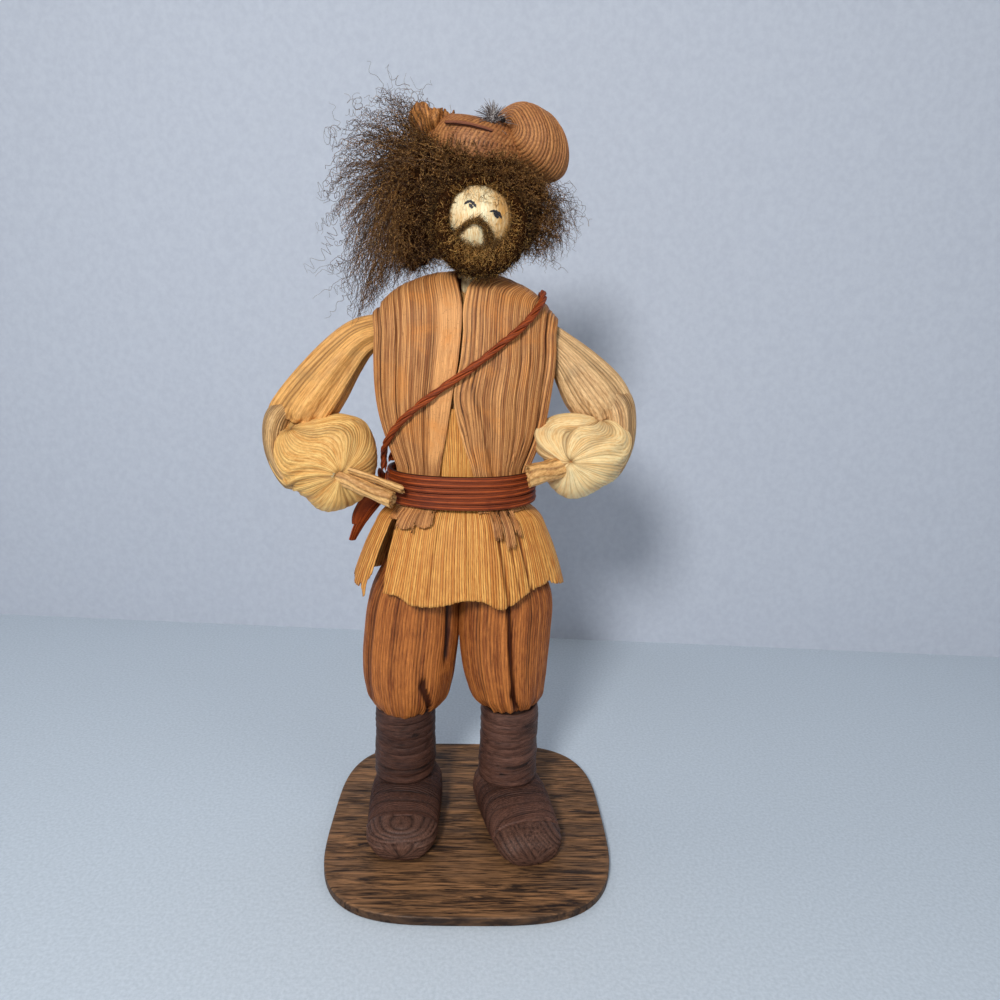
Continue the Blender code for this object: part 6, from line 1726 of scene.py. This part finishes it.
def stagePlane(name, corners, colours, grain, seeThrough=False):
    clearSelection()
    bpy.ops.mesh.primitive_plane_add(size=1)
    piece = bpy.context.object
    piece.name = piece.data.name = name
    for vertex, corner in zip(piece.data.vertices, corners):
        vertex.co = corner
    nodes = Nodes(name, 0.9, 0.1)
    noise = nodes.noise(nodes.places.outputs["Object"], grain, 4)
    colour = nodes.mix(nodes.levels(noise, 0.35, 0.65), *colours)
    nodes.bump(noise, 0.0003, 0.3)
    piece.data.materials.append(nodes.finish(colour))
    if seeThrough:
        # from its back, so that the doll shows from behind
        back = nodes.tree.nodes.new("ShaderNodeNewGeometry").outputs["Backfacing"]
        clear = nodes.tree.nodes.new("ShaderNodeBsdfTransparent")
        both = nodes.tree.nodes.new("ShaderNodeMixShader")
        nodes.link(back, both.inputs[0])
        nodes.link(nodes.shader.outputs["BSDF"], both.inputs[1])
        nodes.link(clear.outputs["BSDF"], both.inputs[2])
        nodes.link(both.outputs["Shader"], nodes.tree.nodes["Material Output"].inputs["Surface"])


def makeRoom():
    say("room")
    left, right = Vector(room["wallLeft"]), Vector(room["wallRight"])
    ahead = (right - left).normalized()
    middle = (left + right) / 2
    a, b = middle - ahead * room["wallSpan"] / 2, middle + ahead * room["wallSpan"] / 2
    toward = Vector((ahead.y, -ahead.x, 0)) * room["floorDepth"]
    up = Vector((0, 0, room["wallHeight"]))
    stagePlane("floor_cloth", (a + toward, b + toward, a, b), ((196, 207, 217), (210, 220, 230)), 900)
    stagePlane("back_wall", (a, b, a + up, b + up), ((196, 202, 214), (203, 209, 220)), 300, seeThrough=True)

    def lamp(name, place, target, size, watts, colour=(1, 1, 1)):
        data = bpy.data.lights.new(name, "AREA")
        data.shape = "DISK"
        data.size = size
        data.energy = watts
        data.color = colour
        made = bpy.data.objects.new(name, data)
        bpy.context.collection.objects.link(made)
        way = Vector(target) - Vector(place)
        made.matrix_world = Matrix.Translation(place) @ way.to_track_quat("-Z", "Y").to_matrix().to_4x4()

    lamp("key_lamp", (-0.14, -0.52, 0.40), (0, 0, 0.13), 0.12, 2.9)
    lamp("fill_lamp", (0.65, -0.55, 0.55), (0, 0, 0.12), 0.6, 0.9)
    lamp("back_lamp", (-0.5, 0.12, 0.7), (0, 0, 0.12), 0.5, 0.7)
    world = bpy.data.worlds.new("soft_room")
    world.use_nodes = True
    world.node_tree.nodes["Background"].inputs["Color"].default_value = (0.93, 0.96, 1.0, 1.0)
    world.node_tree.nodes["Background"].inputs["Strength"].default_value = 0.24
    bpy.context.scene.world = world
    bpy.context.scene.view_settings.view_transform = "Standard"


view = {
    "place": (-0.0006, -0.2377, 0.1742), "down": 12.9, "turn": 2.0, "roll": 1.83, "lens": 27.036,
    "sensor": 36.0,
}


def makeCamera():
    turn, down, roll = (math.radians(view[name]) for name in ("turn", "down", "roll"))
    flat = Vector((math.sin(turn), math.cos(turn), 0))
    right = Vector((math.cos(turn), -math.sin(turn), 0))
    ahead = flat * math.cos(down) - Vector((0, 0, math.sin(down)))
    below = -flat * math.sin(down) - Vector((0, 0, math.cos(down)))
    side = right * math.cos(roll) - below * math.sin(roll)
    under = right * math.sin(roll) + below * math.cos(roll)
    data = bpy.data.cameras.new("photo_view")
    data.sensor_width = view["sensor"]
    data.lens = view["lens"]
    data.clip_start = 0.01
    camera = bpy.data.objects.new("photo_view", data)
    bpy.context.collection.objects.link(camera)
    axes = Matrix((side, -under, -ahead)).transposed().to_4x4()
    camera.matrix_world = Matrix.Translation(view["place"]) @ axes
    bpy.context.scene.camera = camera


makeCamera()
finishes = makeFinishes()
makeBase(finishes)
say("legs")
for side in ("right", "left"):
    makeShaft(side, finishes)
    makeFoot(side, finishes)
    makeTrouserLeg(side, finishes)
say("body")
makeTorso(finishes)
for part in ("front", "back"):
    makeTunic(part, finishes)
for side in ("right", "left"):
    makeVest(side, finishes)
makeSash(finishes)
makeStrap(finishes)
say("arms")
for side in ("right", "left"):
    makeSleeve(side, finishes)
    makePuff(side, finishes)
    makeElbow(side, finishes)
    makeHand(side, finishes)
say("head")
makeHead(finishes)
makeEyes(finishes)
makeBeard(finishes)
makeHair(finishes)
makeHat(finishes)
makeFeather(finishes)
dressKeptNodes(finishes)
makeRoom()
